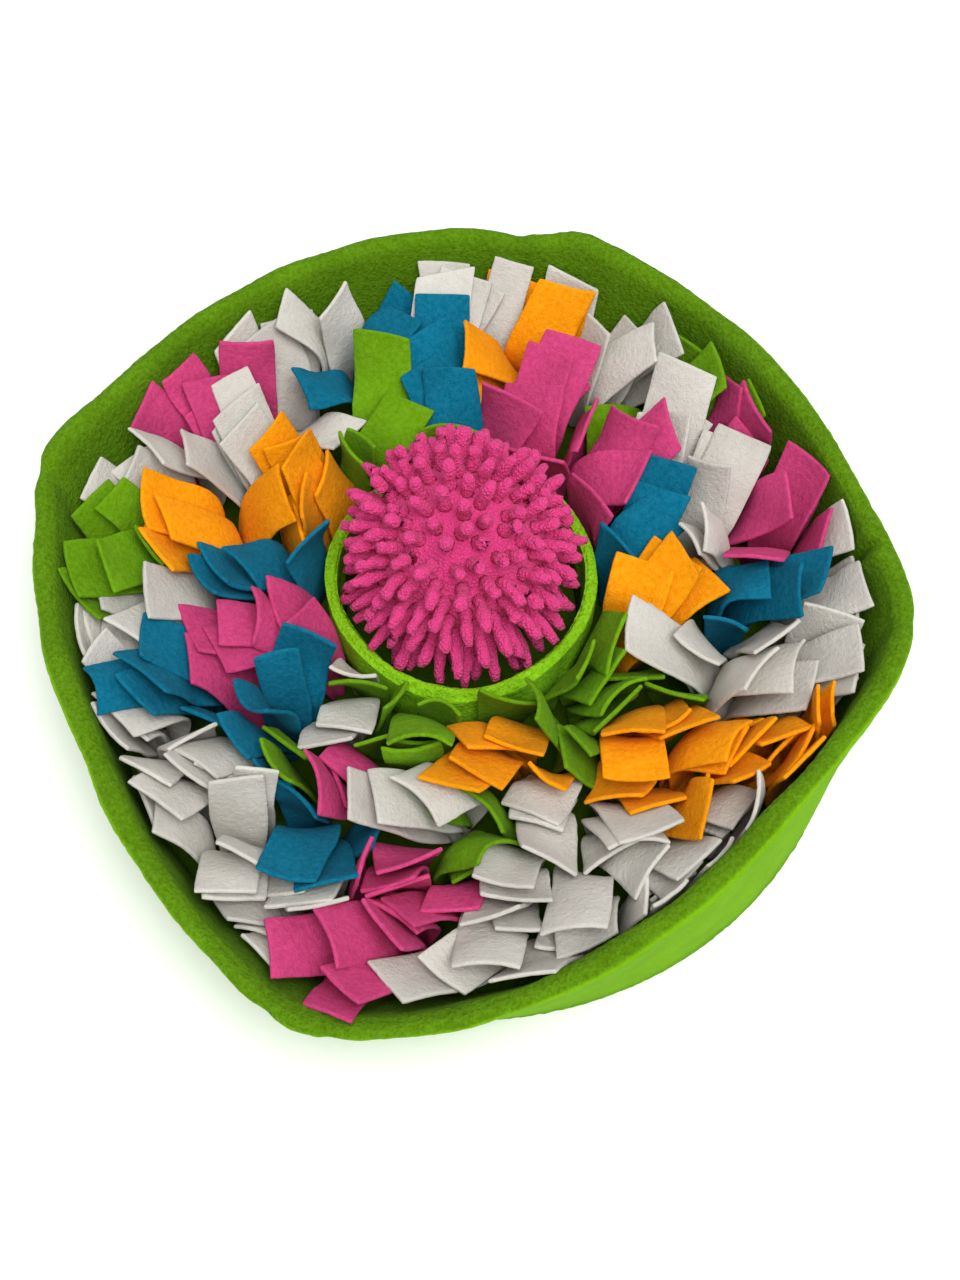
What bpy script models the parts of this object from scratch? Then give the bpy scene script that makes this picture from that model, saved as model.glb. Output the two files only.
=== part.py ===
"""Snuffle mat: a round fleece mat with a flared padded wall, knotted fleece tufts, and a cup that holds a
chenille noodle ball.  Metres, +Z up, the mat stands on z = 0 with its base centred on the origin.
"""

import math
import random
from collections import namedtuple

import bmesh
import bpy
from mathutils import Vector
from mathutils.bvhtree import BVHTree

# ---------------------------------------------------------------- driving sizes
GAP = 0.0003                # kept between pieces that touch
DRAPE_GAP = 0.002           # kept between a fleece tail and the wall, the cup or the ball

FOOT_RADIUS = 0.200         # outside of the wall where it stands on the floor
WALL_THICKNESS = 0.012
WALL_STATIONS = 72
WALL_LEVELS = (0.0, 0.36, 0.70)     # shares of the height with a ring of points below the rolled top
WALL_CURVE = 1.15           # power of the height with which the wall flares
BASE_THICKNESS = 0.005

CUP_CENTRE = Vector((-0.004, 0.029, 0.0))
CUP_THICKNESS = 0.0065
CUP_HEIGHT = 0.042
CUP_STATIONS = 36
CUP_TUCK = 0.003            # how far the cup's foot stands inside its top
CUP_BELLY = 0.0005          # how far its bulge does, and the share of its height at which that is
CUP_BELLY_SHARE = 0.4
ROLL_TURNS = (45, 90, 135)  # degrees around a rolled top edge that have a point

BALL_RADIUS = 0.0640        # to the noodles' tips
CORE_RADIUS = 0.046
BALL_CELLS = 6              # core faces along each side of the cube it is puffed up from
NOODLE_RINGS = (            # share of a noodle's length, half its diagonal, share of its flop
    (0.0, 0.0052, 0.0),
    (0.55, 0.0048, 0.35),
    (1.0, 0.0038, 1.0),
)
NOODLE_FLOP = 0.0045        # how far gravity pulls a level noodle's tip down
NOODLE_SWING = 0.0020
NOODLE_INSET = 0.0010
NOODLES_FROM = -0.12        # lowest direction, as the sine of its angle below level
UNDER_PATCH = 15.0          # degrees from straight down, where the ball stands on noodles
UNDER_SWING = 0.3           # share of the swing of a noodle there
BALL_SEED = 11

STRIP_WIDTH = 0.030
STRIP_THICKNESS = 0.0022
TAIL_STEP = 0.0155          # length of one bend of a tail
TAIL_BENDS = 4
KNOT_WIDTH = 0.021
KNOT_PITCH = 0.0070         # depth of the knot for each strip tied in it
KNOT_HEIGHT = 0.009
ROOT_INSET = 0.0009         # of a tail's gathered foot from the edge of its patch of the knot

# How the pile lies.  Leans are in degrees from upright, and each bend has its own entry.
TAIL_GAP = 0.0006           # kept between tails
KNOT_ROOM = 0.050           # height kept free over a knot for its own tails
ROOM_NARROWING = 0.6        # of that room at its top
PILE_TOP = 0.078
COMB_WIDE = 32.0            # degrees that the pile is combed aside, twice around the mat
COMB_FINE = 15.0            # and five times around it
AIM_SPREAD = 28.0           # degrees that a tuft turns from its neighbours
TWIST_SPREAD = 20.0         # degrees that its tails turn from the knot
FAN_LEAN = 26.0             # between a knot's back and front tail where they leave it
FAN_UPRIGHT = 0.4           # share of the way from back to front where a tail leaves upright
FAN_MIDDLE = 0.45           # share where a tail counts as the innermost
LEAN_SPREAD = 5.0
STEP_SPREAD = 0.08
RETRY_TURN = 15.0           # the last guess for a tail turns it this far
RETRY_SHORTENING = 0.3      # and shortens it by this share
BEND_LEANS = ((2.0, 22.0), (8.0, 36.0), (8.0, 36.0), (4.0, 30.0))
BEND_WIDTHS = (0.80, 0.97, 1.0, 1.0)
BEND_DEPTHS = (1.35, 1.0, 1.0, 1.0)
BEND_YAW = 13.0
BEND_ROLL = 12.0
MOST_LEAN = 112.0           # tips curl down no further
EASE_BACK = 20.0            # how far a bend may turn back where there is little room
TRIES = (5, 6, 6, 5)        # directions tried for each bend
GUESSES = 30                # whole tails tried for each place, half of them if one fits
PLAN_CELL = 0.006           # of the grid on which bare mat is counted
SEED = 7

# Outline of the wall's top edge, anticlockwise from +X: heading in degrees, radius and height in millimetres.
RimRow = namedtuple("RimRow", "heading radius height")
RIM = (
    RimRow(-4, 226, 85),
    RimRow(7, 219, 84),     # the upright seam pulls the wall in
    RimRow(19, 214, 85),
    RimRow(35, 215, 86),
    RimRow(51, 222, 86),
    RimRow(66, 230, 87),
    RimRow(77, 239, 88),    # back corner
    RimRow(81, 232, 85),    # with a dent beside it
    RimRow(90, 235, 85),
    RimRow(109, 232, 85),
    RimRow(128, 229, 86),
    RimRow(148, 230, 86),
    RimRow(161, 238, 87),   # left corner
    RimRow(171, 227, 84),
    RimRow(184, 218, 84),
    RimRow(205, 209, 85),
    RimRow(225, 218, 84),
    RimRow(240, 232, 82),
    RimRow(251, 244, 80),   # front corner, pressed outwards
    RimRow(263, 237, 81),
    RimRow(279, 222, 84),
    RimRow(295, 209, 86),
    RimRow(318, 200, 87),
    RimRow(334, 207, 87),
    RimRow(348, 221, 86),
)

# Outline of the cup: heading in degrees and outer radius in millimetres, a little pointed at the front.
CupRow = namedtuple("CupRow", "heading radius")
CUP = (
    CupRow(0, 72),
    CupRow(60, 71),
    CupRow(120, 71),
    CupRow(180, 72),
    CupRow(225, 72),
    CupRow(268, 77),
    CupRow(315, 73),
)

# Tufts stand in rings.  A ring starts at a heading and sweeps anticlockwise.  It lies between the cup,
# share 0, and the wall, share 1, with one share at its two ends and another at its middle.  Back_stands is
# how many of its back tails stand up instead of leaning back.  The tufts follow in order: the strip's colour
# and how many tails rise from the knot.
RingRow = namedtuple("RingRow", "first_heading sweep end_share middle_share back_stands tufts")
RINGS = (
    RingRow(4, 360, 1.0, 1.0, 0.2, (
        ("white", 3), ("pink", 3), ("pink", 3), ("green", 3), ("white", 3), ("orange", 3), ("white", 3),
        ("teal", 3), ("white", 3), ("pink", 3), ("white", 3), ("green", 3), ("white", 3), ("white", 3),
        ("white", 4), ("white", 3), ("white", 4), ("pink", 4), ("white", 3), ("white", 4), ("white", 4),
        ("white", 3), ("orange", 3), ("white", 3))),
    RingRow(148, 244, 0.50, 0.64, 0.2, (
        ("white", 3), ("orange", 3), ("white", 3), ("teal", 3), ("white", 3), ("teal", 3), ("pink", 3),
        ("white", 3), ("white", 3), ("orange", 3), ("white", 3), ("teal", 3), ("white", 3), ("white", 3))),
    RingRow(222, 92, 0.31, 0.29, 0.2, (
        ("teal", 3), ("pink", 4), ("white", 3), ("white", 3), ("orange", 3))),
    RingRow(10, 360, 0.0, 0.0, 1.0, (
        ("teal", 3), ("pink", 3), ("pink", 3), ("teal", 3), ("green", 3), ("orange", 3), ("teal", 3),
        ("pink", 3), ("white", 3), ("green", 4), ("orange", 4), ("green", 3), ("orange", 3))),
)

RING_FROM_WALL = 0.015      # of the outer ring's knots from the wall's foot, where the wall flares
RING_FROM_UPRIGHT = 0.008   # more than that where it stands upright
FLARE_EASES = 0.5           # share of the flare by which that is less
RING_FROM_CUP = 0.021

COLOURS = {                 # linear red, green, blue
    "green": (0.145, 0.400, 0.012),
    "white": (0.760, 0.730, 0.690),
    "pink": (0.760, 0.035, 0.215),
    "teal": (0.000, 0.170, 0.300),
    "orange": (1.000, 0.330, 0.000),
}


# ---------------------------------------------------------------- scene and materials
def clear_scene():
    for obj in list(bpy.data.objects):
        bpy.data.objects.remove(obj, do_unlink=True)


def make_material(name, colour, roughness=0.95):
    material = bpy.data.materials.new(name)
    material.use_nodes = True
    shader = material.node_tree.nodes["Principled BSDF"]
    shader.inputs["Base Color"].default_value = (*COLOURS[colour], 1.0)
    shader.inputs["Roughness"].default_value = roughness
    shader.inputs["Metallic"].default_value = 0.0
    return material


def finish(bm, name, collection, material):
    """Turn a bmesh into a named, smooth-shaded object."""
    bmesh.ops.recalc_face_normals(bm, faces=bm.faces)
    mesh = bpy.data.meshes.new(name)
    bm.to_mesh(mesh)
    bm.free()
    mesh.materials.append(material)
    mesh.shade_smooth()
    mesh.set_sharp_from_angle(angle=math.radians(40))
    obj = bpy.data.objects.new(name, mesh)
    collection.objects.link(obj)
    return obj


# ---------------------------------------------------------------- outlines
def smooth_between(before, start, end, after, t):
    """Catmull-Rom value between start and end."""
    return 0.5 * (2.0 * start + (end - before) * t
                  + (2.0 * before - 5.0 * start + 4.0 * end - after) * t * t
                  + (3.0 * start - before - 3.0 * end + after) * t * t * t)


def outline_value(rows, heading, column):
    """Value of a column of a closed outline table at any heading, in metres."""
    count = len(rows)
    turn = (heading - rows[0].heading) % 360.0
    for i in range(count):
        here = (rows[i].heading - rows[0].heading) % 360.0
        there = (rows[(i + 1) % count].heading - rows[0].heading) % 360.0
        if i + 1 == count:
            there = 360.0
        if here <= turn <= there:
            break
    t = (turn - here) / (there - here)
    values = [getattr(rows[(i + k) % count], column) for k in (-1, 0, 1, 2)]
    return 0.001 * smooth_between(*values, t)


def wall_offset(heading, z):
    """How far the wall's outer face stands outside its foot at height z."""
    flare = outline_value(RIM, heading, "radius") - FOOT_RADIUS
    height = outline_value(RIM, heading, "height")
    return flare * min(1.0, max(0.0, z / height)) ** WALL_CURVE


def cup_radius(heading):
    return outline_value(CUP, heading, "radius")


def polar(heading, radius, z, centre=Vector((0.0, 0.0, 0.0))):
    angle = math.radians(heading)
    return centre + Vector((radius * math.cos(angle), radius * math.sin(angle), z))


# ---------------------------------------------------------------- wall, base and cup
def loft_ring(profiles):
    """Closed ring through a closed profile at each station."""
    bm = bmesh.new()
    rings = [[bm.verts.new(point) for point in profile] for profile in profiles]
    for here, there in zip(rings, rings[1:] + rings[:1]):
        for k in range(len(here)):
            n = (k + 1) % len(here)
            bm.faces.new((here[k], there[k], there[n], here[n]))
    return bm


def wall_profile(heading):
    """Section of the wall, from its outer foot over the rolled top edge to its inner foot."""
    height = outline_value(RIM, heading, "height")
    roll = WALL_THICKNESS / 2.0
    outer = [level * height for level in WALL_LEVELS] + [height - roll]
    points = [polar(heading, FOOT_RADIUS + wall_offset(heading, z), z) for z in outer]
    middle = FOOT_RADIUS + wall_offset(heading, height) - roll
    for turn in ROLL_TURNS:
        angle = math.radians(turn)
        level = height - roll + roll * math.sin(angle)
        points.append(polar(heading, middle + roll * math.cos(angle), level))
    for z in reversed(outer):
        points.append(polar(heading, FOOT_RADIUS - WALL_THICKNESS + wall_offset(heading, z), z))
    return points


def make_wall(collection, material):
    step = 360.0 / WALL_STATIONS
    bm = loft_ring([wall_profile(i * step) for i in range(WALL_STATIONS)])
    return finish(bm, "wall", collection, material)


def make_base(collection, material):
    """Round bottom panel inside the wall's foot."""
    radius = FOOT_RADIUS - WALL_THICKNESS - GAP
    bpy.ops.mesh.primitive_cylinder_add(
        vertices=WALL_STATIONS, radius=radius, depth=BASE_THICKNESS, location=(0.0, 0.0, BASE_THICKNESS / 2.0))
    base = bpy.context.active_object
    base.name = "base"
    base.data.materials.append(material)
    for other in list(base.users_collection):
        other.objects.unlink(base)
    collection.objects.link(base)
    return base


def cup_profile(heading):
    """Section of the cup's ring, bulging a little and rolled at the top."""
    foot = BASE_THICKNESS + GAP
    top = foot + CUP_HEIGHT
    roll = CUP_THICKNESS / 2.0
    radius = cup_radius(heading)
    levels = ((CUP_TUCK, foot), (CUP_BELLY, foot + CUP_BELLY_SHARE * CUP_HEIGHT), (0.0, top - roll))
    points = [polar(heading, radius - tuck, z, CUP_CENTRE) for tuck, z in levels]
    for turn in ROLL_TURNS:
        angle = math.radians(turn)
        level = top - roll + roll * math.sin(angle)
        points.append(polar(heading, radius - roll + roll * math.cos(angle), level, CUP_CENTRE))
    points += [polar(heading, radius - CUP_THICKNESS - tuck, z, CUP_CENTRE) for tuck, z in reversed(levels)]
    return points


def make_cup(collection, material):
    step = 360.0 / CUP_STATIONS
    bm = loft_ring([cup_profile(i * step) for i in range(CUP_STATIONS)])
    return finish(bm, "cup", collection, material)


# ---------------------------------------------------------------- ball
def ball_centre():
    return Vector((CUP_CENTRE.x, CUP_CENTRE.y, BASE_THICKNESS + GAP + BALL_RADIUS))


def has_noodle(out):
    """Noodles grow on the part of the ball that shows, and in a small patch under it on which it stands."""
    return out.z > NOODLES_FROM or out.z < -math.cos(math.radians(UNDER_PATCH))


def grow_noodle(bm, face, out, flop):
    """Pull a tapering noodle out of a face of the core; flop carries its tip aside."""
    side = out.orthogonal().normalized()
    other = out.cross(side)
    first = face.verts[0].co
    start = math.atan2(other.dot(first), side.dot(first))
    bmesh.ops.inset_individual(bm, faces=[face], thickness=NOODLE_INSET)
    for along, half, share in NOODLE_RINGS:
        if along > 0.0:
            face = bmesh.ops.extrude_discrete_faces(bm, faces=[face])["faces"][0]
        height = CORE_RADIUS + (BALL_RADIUS - CORE_RADIUS) * along
        middle = (out * height + flop * share).normalized() * height
        for k, vertex in enumerate(face.verts):
            angle = start + k * math.pi / 2.0
            vertex.co = middle + (side * math.cos(angle) + other * math.sin(angle)) * half
    return face


def make_ball(collection, material):
    """Core puffed up from a cube, with a four-sided noodle pulled out of its faces."""
    centre = ball_centre()
    draw = random.Random(BALL_SEED)
    bm = bmesh.new()
    bmesh.ops.create_cube(bm, size=2.0)
    bmesh.ops.subdivide_edges(bm, edges=bm.edges[:], cuts=BALL_CELLS - 1, use_grid_fill=True)
    for vertex in bm.verts:
        spread = Vector([math.tan(c * math.pi / 4.0) for c in vertex.co])
        vertex.co = spread.normalized() * CORE_RADIUS
    for face in list(bm.faces):
        out = face.calc_center_median().normalized()
        if not has_noodle(out):
            continue
        level = math.sqrt(max(0.0, 1.0 - out.z * out.z))
        swing = Vector([draw.uniform(-NOODLE_SWING, NOODLE_SWING) for _ in range(3)])
        flop = swing + Vector((0.0, 0.0, -NOODLE_FLOP * level)) if out.z > 0.0 else swing * UNDER_SWING
        tip = grow_noodle(bm, face, out, flop)
        if out.z < NOODLES_FROM:
            for vertex in tip.verts:
                vertex.co.z = -BALL_RADIUS      # level where the ball stands
    bmesh.ops.translate(bm, verts=bm.verts, vec=centre)
    return finish(bm, "ball", collection, material)


# ---------------------------------------------------------------- tufts
Section = namedtuple("Section", "middle across face half_width half_depth")
Spot = namedtuple("Spot", "ring colour tails place aim twist")


def section_corners(section, extra=0.0):
    across = section.across * (section.half_width + extra)
    face = section.face * (section.half_depth + extra)
    return [section.middle + across * a + face * b for a, b in ((-1, -1), (1, -1), (1, 1), (-1, 1))]


def root_section(spot, k):
    """Gathered foot of tail k, on the knot's top."""
    top = knot_section(spot, KNOT_HEIGHT, 1.0)
    middle = top.middle + top.face * (KNOT_PITCH * (k + 0.5) - top.half_depth)
    return Section(middle, top.across, top.face, KNOT_WIDTH / 2.0 - ROOT_INSET, KNOT_PITCH / 2.0 - ROOT_INSET)


def bend_section(here, k, step, lean, heading, roll):
    """Section at the end of a tail's bend k, leaning from upright towards the heading, or away if negative."""
    forward = polar(heading, math.sin(math.radians(lean)), 0.0)
    along = forward + Vector((0.0, 0.0, math.cos(math.radians(lean))))
    across = polar(heading + 90.0, 1.0, 0.0)
    face = across.cross(along)
    tilt = math.radians(roll)
    return Section(here.middle + along * step,
                   across * math.cos(tilt) + face * math.sin(tilt),
                   face * math.cos(tilt) - across * math.sin(tilt),
                   STRIP_WIDTH / 2.0 * BEND_WIDTHS[k], STRIP_THICKNESS / 2.0 * BEND_DEPTHS[k])


def bend_triangles(a, b):
    """Skin between two sections whose corners are a and b.  A strip's two wide faces share their diagonal."""
    triangles = []
    for k in range(4):
        n = (k + 1) % 4
        if k < 2:
            triangles += [(a[k], a[n], b[n]), (a[k], b[n], b[k])]
        else:
            triangles += [(a[k], a[n], b[k]), (a[n], b[n], b[k])]
    return triangles


def sections_tree(sections, extra):
    """Points of a tail's skin, grown by extra, and a search tree over it."""
    points = []
    for section in sections:
        points += section_corners(section, extra)
    faces = []
    for first in range(0, len(points) - 4, 4):
        faces += bend_triangles(range(first, first + 4), range(first + 4, first + 8))
    tip = len(points) - 4
    faces += [(tip, tip + 1, tip + 2), (tip, tip + 2, tip + 3)]
    return points, BVHTree.FromPolygons(points, faces)


def clear_of_shells(here, there):
    """True where one bend of a tail stays DRAPE_GAP from the wall, cup, ball and base."""
    ball = ball_centre()
    for a, b in zip(section_corners(here), section_corners(there)):
        for point in (a.lerp(b, 0.5), b):
            heading = math.degrees(math.atan2(point.y, point.x))
            inner = FOOT_RADIUS - WALL_THICKNESS + wall_offset(heading, point.z)
            if math.hypot(point.x, point.y) > inner - DRAPE_GAP:
                return False
            if point.z > PILE_TOP or point.z < BASE_THICKNESS + DRAPE_GAP:
                return False
            if (point - ball).length < BALL_RADIUS + DRAPE_GAP:
                return False
            level = point - CUP_CENTRE
            edge = cup_radius(math.degrees(math.atan2(level.y, level.x)))
            if math.hypot(level.x, level.y) < edge + DRAPE_GAP:
                return False
    return True


class Placed:
    """A tail or a knot that is already in place, with its box for a quick test."""

    def __init__(self, points, tree):
        self.low = [min(p[i] for p in points) for i in range(3)]
        self.high = [max(p[i] for p in points) for i in range(3)]
        self.tree = tree

    def near(self, other):
        return all(self.low[i] < other.high[i] and other.low[i] < self.high[i] for i in range(3))

    def reachable(self, root):
        reach = TAIL_STEP * (TAIL_BENDS + 1)
        return all(self.low[i] - reach < root[i] < self.high[i] + reach for i in range(2))


def outer_place(heading):
    """Place of a knot beside the wall, further in where the wall stands upright."""
    flare = outline_value(RIM, heading, "radius") - FOOT_RADIUS
    inset = RING_FROM_WALL + max(0.0, RING_FROM_UPRIGHT - FLARE_EASES * flare)
    return polar(heading, FOOT_RADIUS - WALL_THICKNESS - inset, 0.0)


def ring_places():
    """Ring, colour, number of tails and place of each knot, ring by ring."""
    for ring in RINGS:
        count = len(ring.tufts)
        gaps = count if ring.sweep == 360 else count - 1
        for i, (colour, tails) in enumerate(ring.tufts):
            heading = ring.first_heading + ring.sweep * i / gaps
            share = ring.end_share + (ring.middle_share - ring.end_share) * math.sin(math.pi * i / gaps)
            place = outer_place(heading)
            if share < 1.0:
                near_cup = polar(heading, cup_radius(heading) + RING_FROM_CUP, 0.0, CUP_CENTRE)
                direction = polar(heading, 1.0, 0.0)
                along = CUP_CENTRE.dot(direction)
                outer = FOOT_RADIUS - WALL_THICKNESS - RING_FROM_WALL
                reach = -along + math.sqrt(along ** 2 - CUP_CENTRE.length_squared + outer ** 2)
                near_wall = polar(heading, reach, 0.0, CUP_CENTRE)
                place = near_cup.lerp(near_wall, share)
            yield ring, colour, tails, place


def plan_spots(draw):
    """Where each tuft is knotted in and which way it lies."""
    spots = []
    for ring, colour, tails, place in ring_places():
        out = place - CUP_CENTRE
        away = math.degrees(math.atan2(out.y, out.x))
        aim = away + lay_of_the_pile(place) + draw.uniform(-AIM_SPREAD, AIM_SPREAD)
        twist = draw.uniform(-TWIST_SPREAD, TWIST_SPREAD)
        spot = Spot(ring, colour, tails, place, aim, twist)
        farthest = max(corner.xy.length for corner in section_corners(knot_section(spot, 0.0, 1.0)))
        excess = max(0.0, farthest - (FOOT_RADIUS - WALL_THICKNESS - DRAPE_GAP))
        spots.append(spot._replace(place=place * (1.0 - excess / place.length)))
    return spots


def knot_section(spot, height, narrowing):
    """Level section of a knot at a height over its foot."""
    middle = Vector((spot.place.x, spot.place.y, BASE_THICKNESS + GAP + height))
    return Section(middle, polar(spot.aim + 90.0, 1.0, 0.0), polar(spot.aim, 1.0, 0.0),
                   KNOT_WIDTH / 2.0, KNOT_PITCH * spot.tails / 2.0 * narrowing)


def knot_room(spot):
    """The knot, with the room above it that its own tails need to rise in."""
    sections = [knot_section(spot, 0.0, 1.0), knot_section(spot, KNOT_ROOM, ROOM_NARROWING)]
    return Placed(*sections_tree(sections, 0.0))


def grow_tail(draw, sections, lean, heading, roll, step, side, effort, others):
    """Add bends to a tail one by one, each clear of the others, going back where a bend leads nowhere."""
    k = len(sections) - 1
    if k == TAIL_BENDS:
        return sections
    for _ in range(TRIES[k]):
        least, most = BEND_LEANS[k]
        new_lean = lean + side * draw.uniform(least - EASE_BACK * effort, most)
        new_heading = heading + draw.uniform(-1.0, 1.0) * BEND_YAW
        new_roll = roll + draw.uniform(-1.0, 1.0) * BEND_ROLL
        middle_lean = (lean + new_lean) / 2.0
        section = bend_section(sections[-1], k, step, middle_lean, new_heading, new_roll)
        if abs(new_lean) > MOST_LEAN or not clear_of_shells(sections[-1], section):
            continue
        bend = Placed(*sections_tree([sections[-1], section], TAIL_GAP if k else 0.0))
        if any(bend.near(other) and bend.tree.overlap(other.tree) for other in others):
            continue
        longer = sections + [section]
        grown = grow_tail(draw, longer, new_lean, new_heading, new_roll, step, side, effort, others)
        if grown:
            return grown
    return None


def lay_of_the_pile(place):
    """Degrees by which the tails around a place are combed aside, so that neighbours lie alike."""
    heading = math.atan2(place.y, place.x)
    return COMB_WIDE * math.sin(2.0 * heading + 0.8) + COMB_FINE * math.sin(5.0 * heading)


def cells_under(sections):
    """Cells of the plan that a tail covers."""
    cells = set()
    for here, there in zip(sections[1:], sections[2:]):
        for share in (0.25, 0.75):
            middle = here.middle.lerp(there.middle, share)
            for across in (-0.9, -0.45, 0.0, 0.45, 0.9):
                point = middle + here.across * (here.half_width * across)
                cells.add((round(point.x / PLAN_CELL), round(point.y / PLAN_CELL)))
    return cells


def place_tail(draw, spot, k, others, covered):
    """Best of some guesses that miss all that is in place: the one that covers the most bare mat."""
    fan = k / (spot.tails - 1)
    root = root_section(spot, k)
    others = [other for other in others if other.reachable(root.middle)]
    best_score = -1
    best = None
    for attempt in range(GUESSES):
        if best and attempt > GUESSES / 2:
            break
        effort = attempt / GUESSES
        side = 1.0 if k > 0 or draw.random() < spot.ring.back_stands else -1.0
        lean = FAN_LEAN * (fan - FAN_UPRIGHT) + draw.uniform(-1.0, 1.0) * LEAN_SPREAD
        heading = spot.aim + spot.twist + draw.uniform(-1.0, 1.0) * RETRY_TURN * effort
        step = TAIL_STEP * (1.0 + draw.uniform(-1.0, 1.0) * STEP_SPREAD) * (1.0 - RETRY_SHORTENING * effort)
        tail = grow_tail(draw, [root], lean, heading, 0.0, step, side, effort, others)
        if tail:
            score = len(cells_under(tail) - covered)
            if score > best_score:
                best_score = score
                best = tail
    return best


def plan_tufts():
    """Choose every tail: in a shuffled order first the outermost one at each knot, then the next."""
    draw = random.Random(SEED)
    spots = plan_spots(draw)
    rooms = [knot_room(spot) for spot in spots]
    jobs = []
    for index, spot in enumerate(spots):
        outermost_first = sorted(range(spot.tails), key=lambda k: -abs(k / (spot.tails - 1) - FAN_MIDDLE))
        jobs += [(layer, draw.random(), index, k) for layer, k in enumerate(outermost_first)]
    placed = []
    covered = set()
    chosen = [[None] * spot.tails for spot in spots]
    for _, _, index, k in sorted(jobs):
        others = rooms[:index] + rooms[index + 1:] + placed
        tail = place_tail(draw, spots[index], k, others, covered)
        if tail:
            chosen[index][k] = tail
            covered |= cells_under(tail)
            placed.append(Placed(*sections_tree(tail, 0.0)))
    return list(zip(spots, chosen))


def pull_tail(bm, patch, sections):
    """Extrude a patch of the knot section by section, and crease each wide face along its diagonal."""
    corners = section_corners(sections[0])
    order = [min(range(4), key=lambda c: (corners[c] - vertex.co).length) for vertex in patch.verts]
    ring = dict(zip(order, patch.verts))
    for section in sections[1:]:
        patch = bmesh.ops.extrude_discrete_faces(bm, faces=[patch])["faces"][0]
        corners = section_corners(section)
        new_ring = dict(zip(order, patch.verts))
        for corner, vertex in new_ring.items():
            vertex.co = corners[corner]
        for start, end in ((0, 1), (3, 2)):
            bmesh.ops.connect_verts(bm, verts=[ring[start], new_ring[end]])
        ring = new_ring


def make_tuft(name, spot, tails, collection, material):
    """Knot with its top parted into one patch for each strip, and a tail pulled out of each patch."""
    top = knot_section(spot, KNOT_HEIGHT, 1.0)
    bm = bmesh.new()
    bmesh.ops.create_grid(bm, x_segments=1, y_segments=spot.tails, size=1.0)
    for vertex in bm.verts:
        x, y = vertex.co.xy
        vertex.co = top.middle + top.across * (x * top.half_width) + top.face * (y * top.half_depth)
    patches = sorted(bm.faces, key=lambda face: face.calc_center_median().dot(top.face))
    rim = [edge for edge in bm.edges if edge.is_boundary]
    skirt = bmesh.ops.extrude_edge_only(bm, edges=rim)["geom"]
    for vertex in skirt:
        if isinstance(vertex, bmesh.types.BMVert):
            vertex.co.z = top.middle.z - KNOT_HEIGHT
    bmesh.ops.contextual_create(bm, geom=[edge for edge in bm.edges if edge.is_boundary])
    for patch, sections in zip(patches, tails):
        if sections:
            bmesh.ops.inset_individual(bm, faces=[patch], thickness=ROOT_INSET)
            pull_tail(bm, patch, sections)
    return finish(bm, name, collection, material)


def make_tufts(collection, materials):
    counts = {colour: 0 for colour in COLOURS}
    for spot, tails in plan_tufts():
        counts[spot.colour] += 1
        name = f"tuft_{spot.colour}_{counts[spot.colour]:02d}"
        make_tuft(name, spot, tails, collection, materials[spot.colour])


# ---------------------------------------------------------------- the whole mat
def main():
    clear_scene()
    collection = bpy.data.collections.new("snuffle_mat")
    bpy.context.scene.collection.children.link(collection)
    materials = {name: make_material(f"{name} polyester fleece", name) for name in COLOURS}
    chenille = make_material("pink microfibre chenille", "pink", roughness=1.0)

    make_wall(collection, materials["green"])
    make_base(collection, materials["green"])
    make_cup(collection, materials["green"])
    make_ball(collection, chenille)
    make_tufts(collection, materials)


main()
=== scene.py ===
"""Snuffle mat: looks of a round padded fleece mat with knotted fleece strips and a chenille noodle ball.

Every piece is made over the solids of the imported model, in metres, with +Z up and the floor at z = 0.
"""

import math
import random

import bmesh
import bpy
import numpy as np
from bpy.props import FloatProperty, FloatVectorProperty, IntProperty, PointerProperty
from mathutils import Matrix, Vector, noise
from mathutils.bvhtree import BVHTree


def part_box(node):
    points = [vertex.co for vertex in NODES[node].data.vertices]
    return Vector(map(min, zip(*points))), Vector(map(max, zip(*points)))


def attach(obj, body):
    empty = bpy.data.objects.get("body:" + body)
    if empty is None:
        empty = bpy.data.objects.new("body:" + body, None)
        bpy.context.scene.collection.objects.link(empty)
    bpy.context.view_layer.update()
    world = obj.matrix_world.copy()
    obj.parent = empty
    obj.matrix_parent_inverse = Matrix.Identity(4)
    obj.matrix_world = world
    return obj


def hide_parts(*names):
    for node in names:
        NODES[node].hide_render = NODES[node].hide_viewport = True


bl_info = {
    "name": "Snuffle Mat",
    "version": (1, 0, 0),
    "blender": (4, 5, 0),
    "location": "View3D > Sidebar > Snuffle Mat",
    "description": "Builds a fleece snuffle mat with a chenille noodle ball",
    "category": "Add Mesh",
}

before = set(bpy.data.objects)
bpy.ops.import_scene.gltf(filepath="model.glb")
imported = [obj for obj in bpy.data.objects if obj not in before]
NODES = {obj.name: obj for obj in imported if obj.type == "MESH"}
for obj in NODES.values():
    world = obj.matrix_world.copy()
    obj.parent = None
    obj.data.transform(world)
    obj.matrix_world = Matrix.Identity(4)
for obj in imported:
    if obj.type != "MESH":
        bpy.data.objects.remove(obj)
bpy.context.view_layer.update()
TUFT_NAMES = sorted(name for name in NODES if name.startswith("tuft_"))

MERGE = 0.00002  # under this, two corners of a solid's triangles are one
LEVEL_SLACK = 0.00003  # within this, a corner is at a height

# -------------------- places in the solids
KNOT_FOOT = 0.0053
KNOT_TOP = 0.0143
TAIL_RINGS = 4  # rings of four corners along each tail, past the one on the knot
BALL_CENTRE = Vector((-0.004, 0.029, 0.0693))
CUP_CENTRE = Vector((-0.004, 0.029, 0.0))

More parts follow.
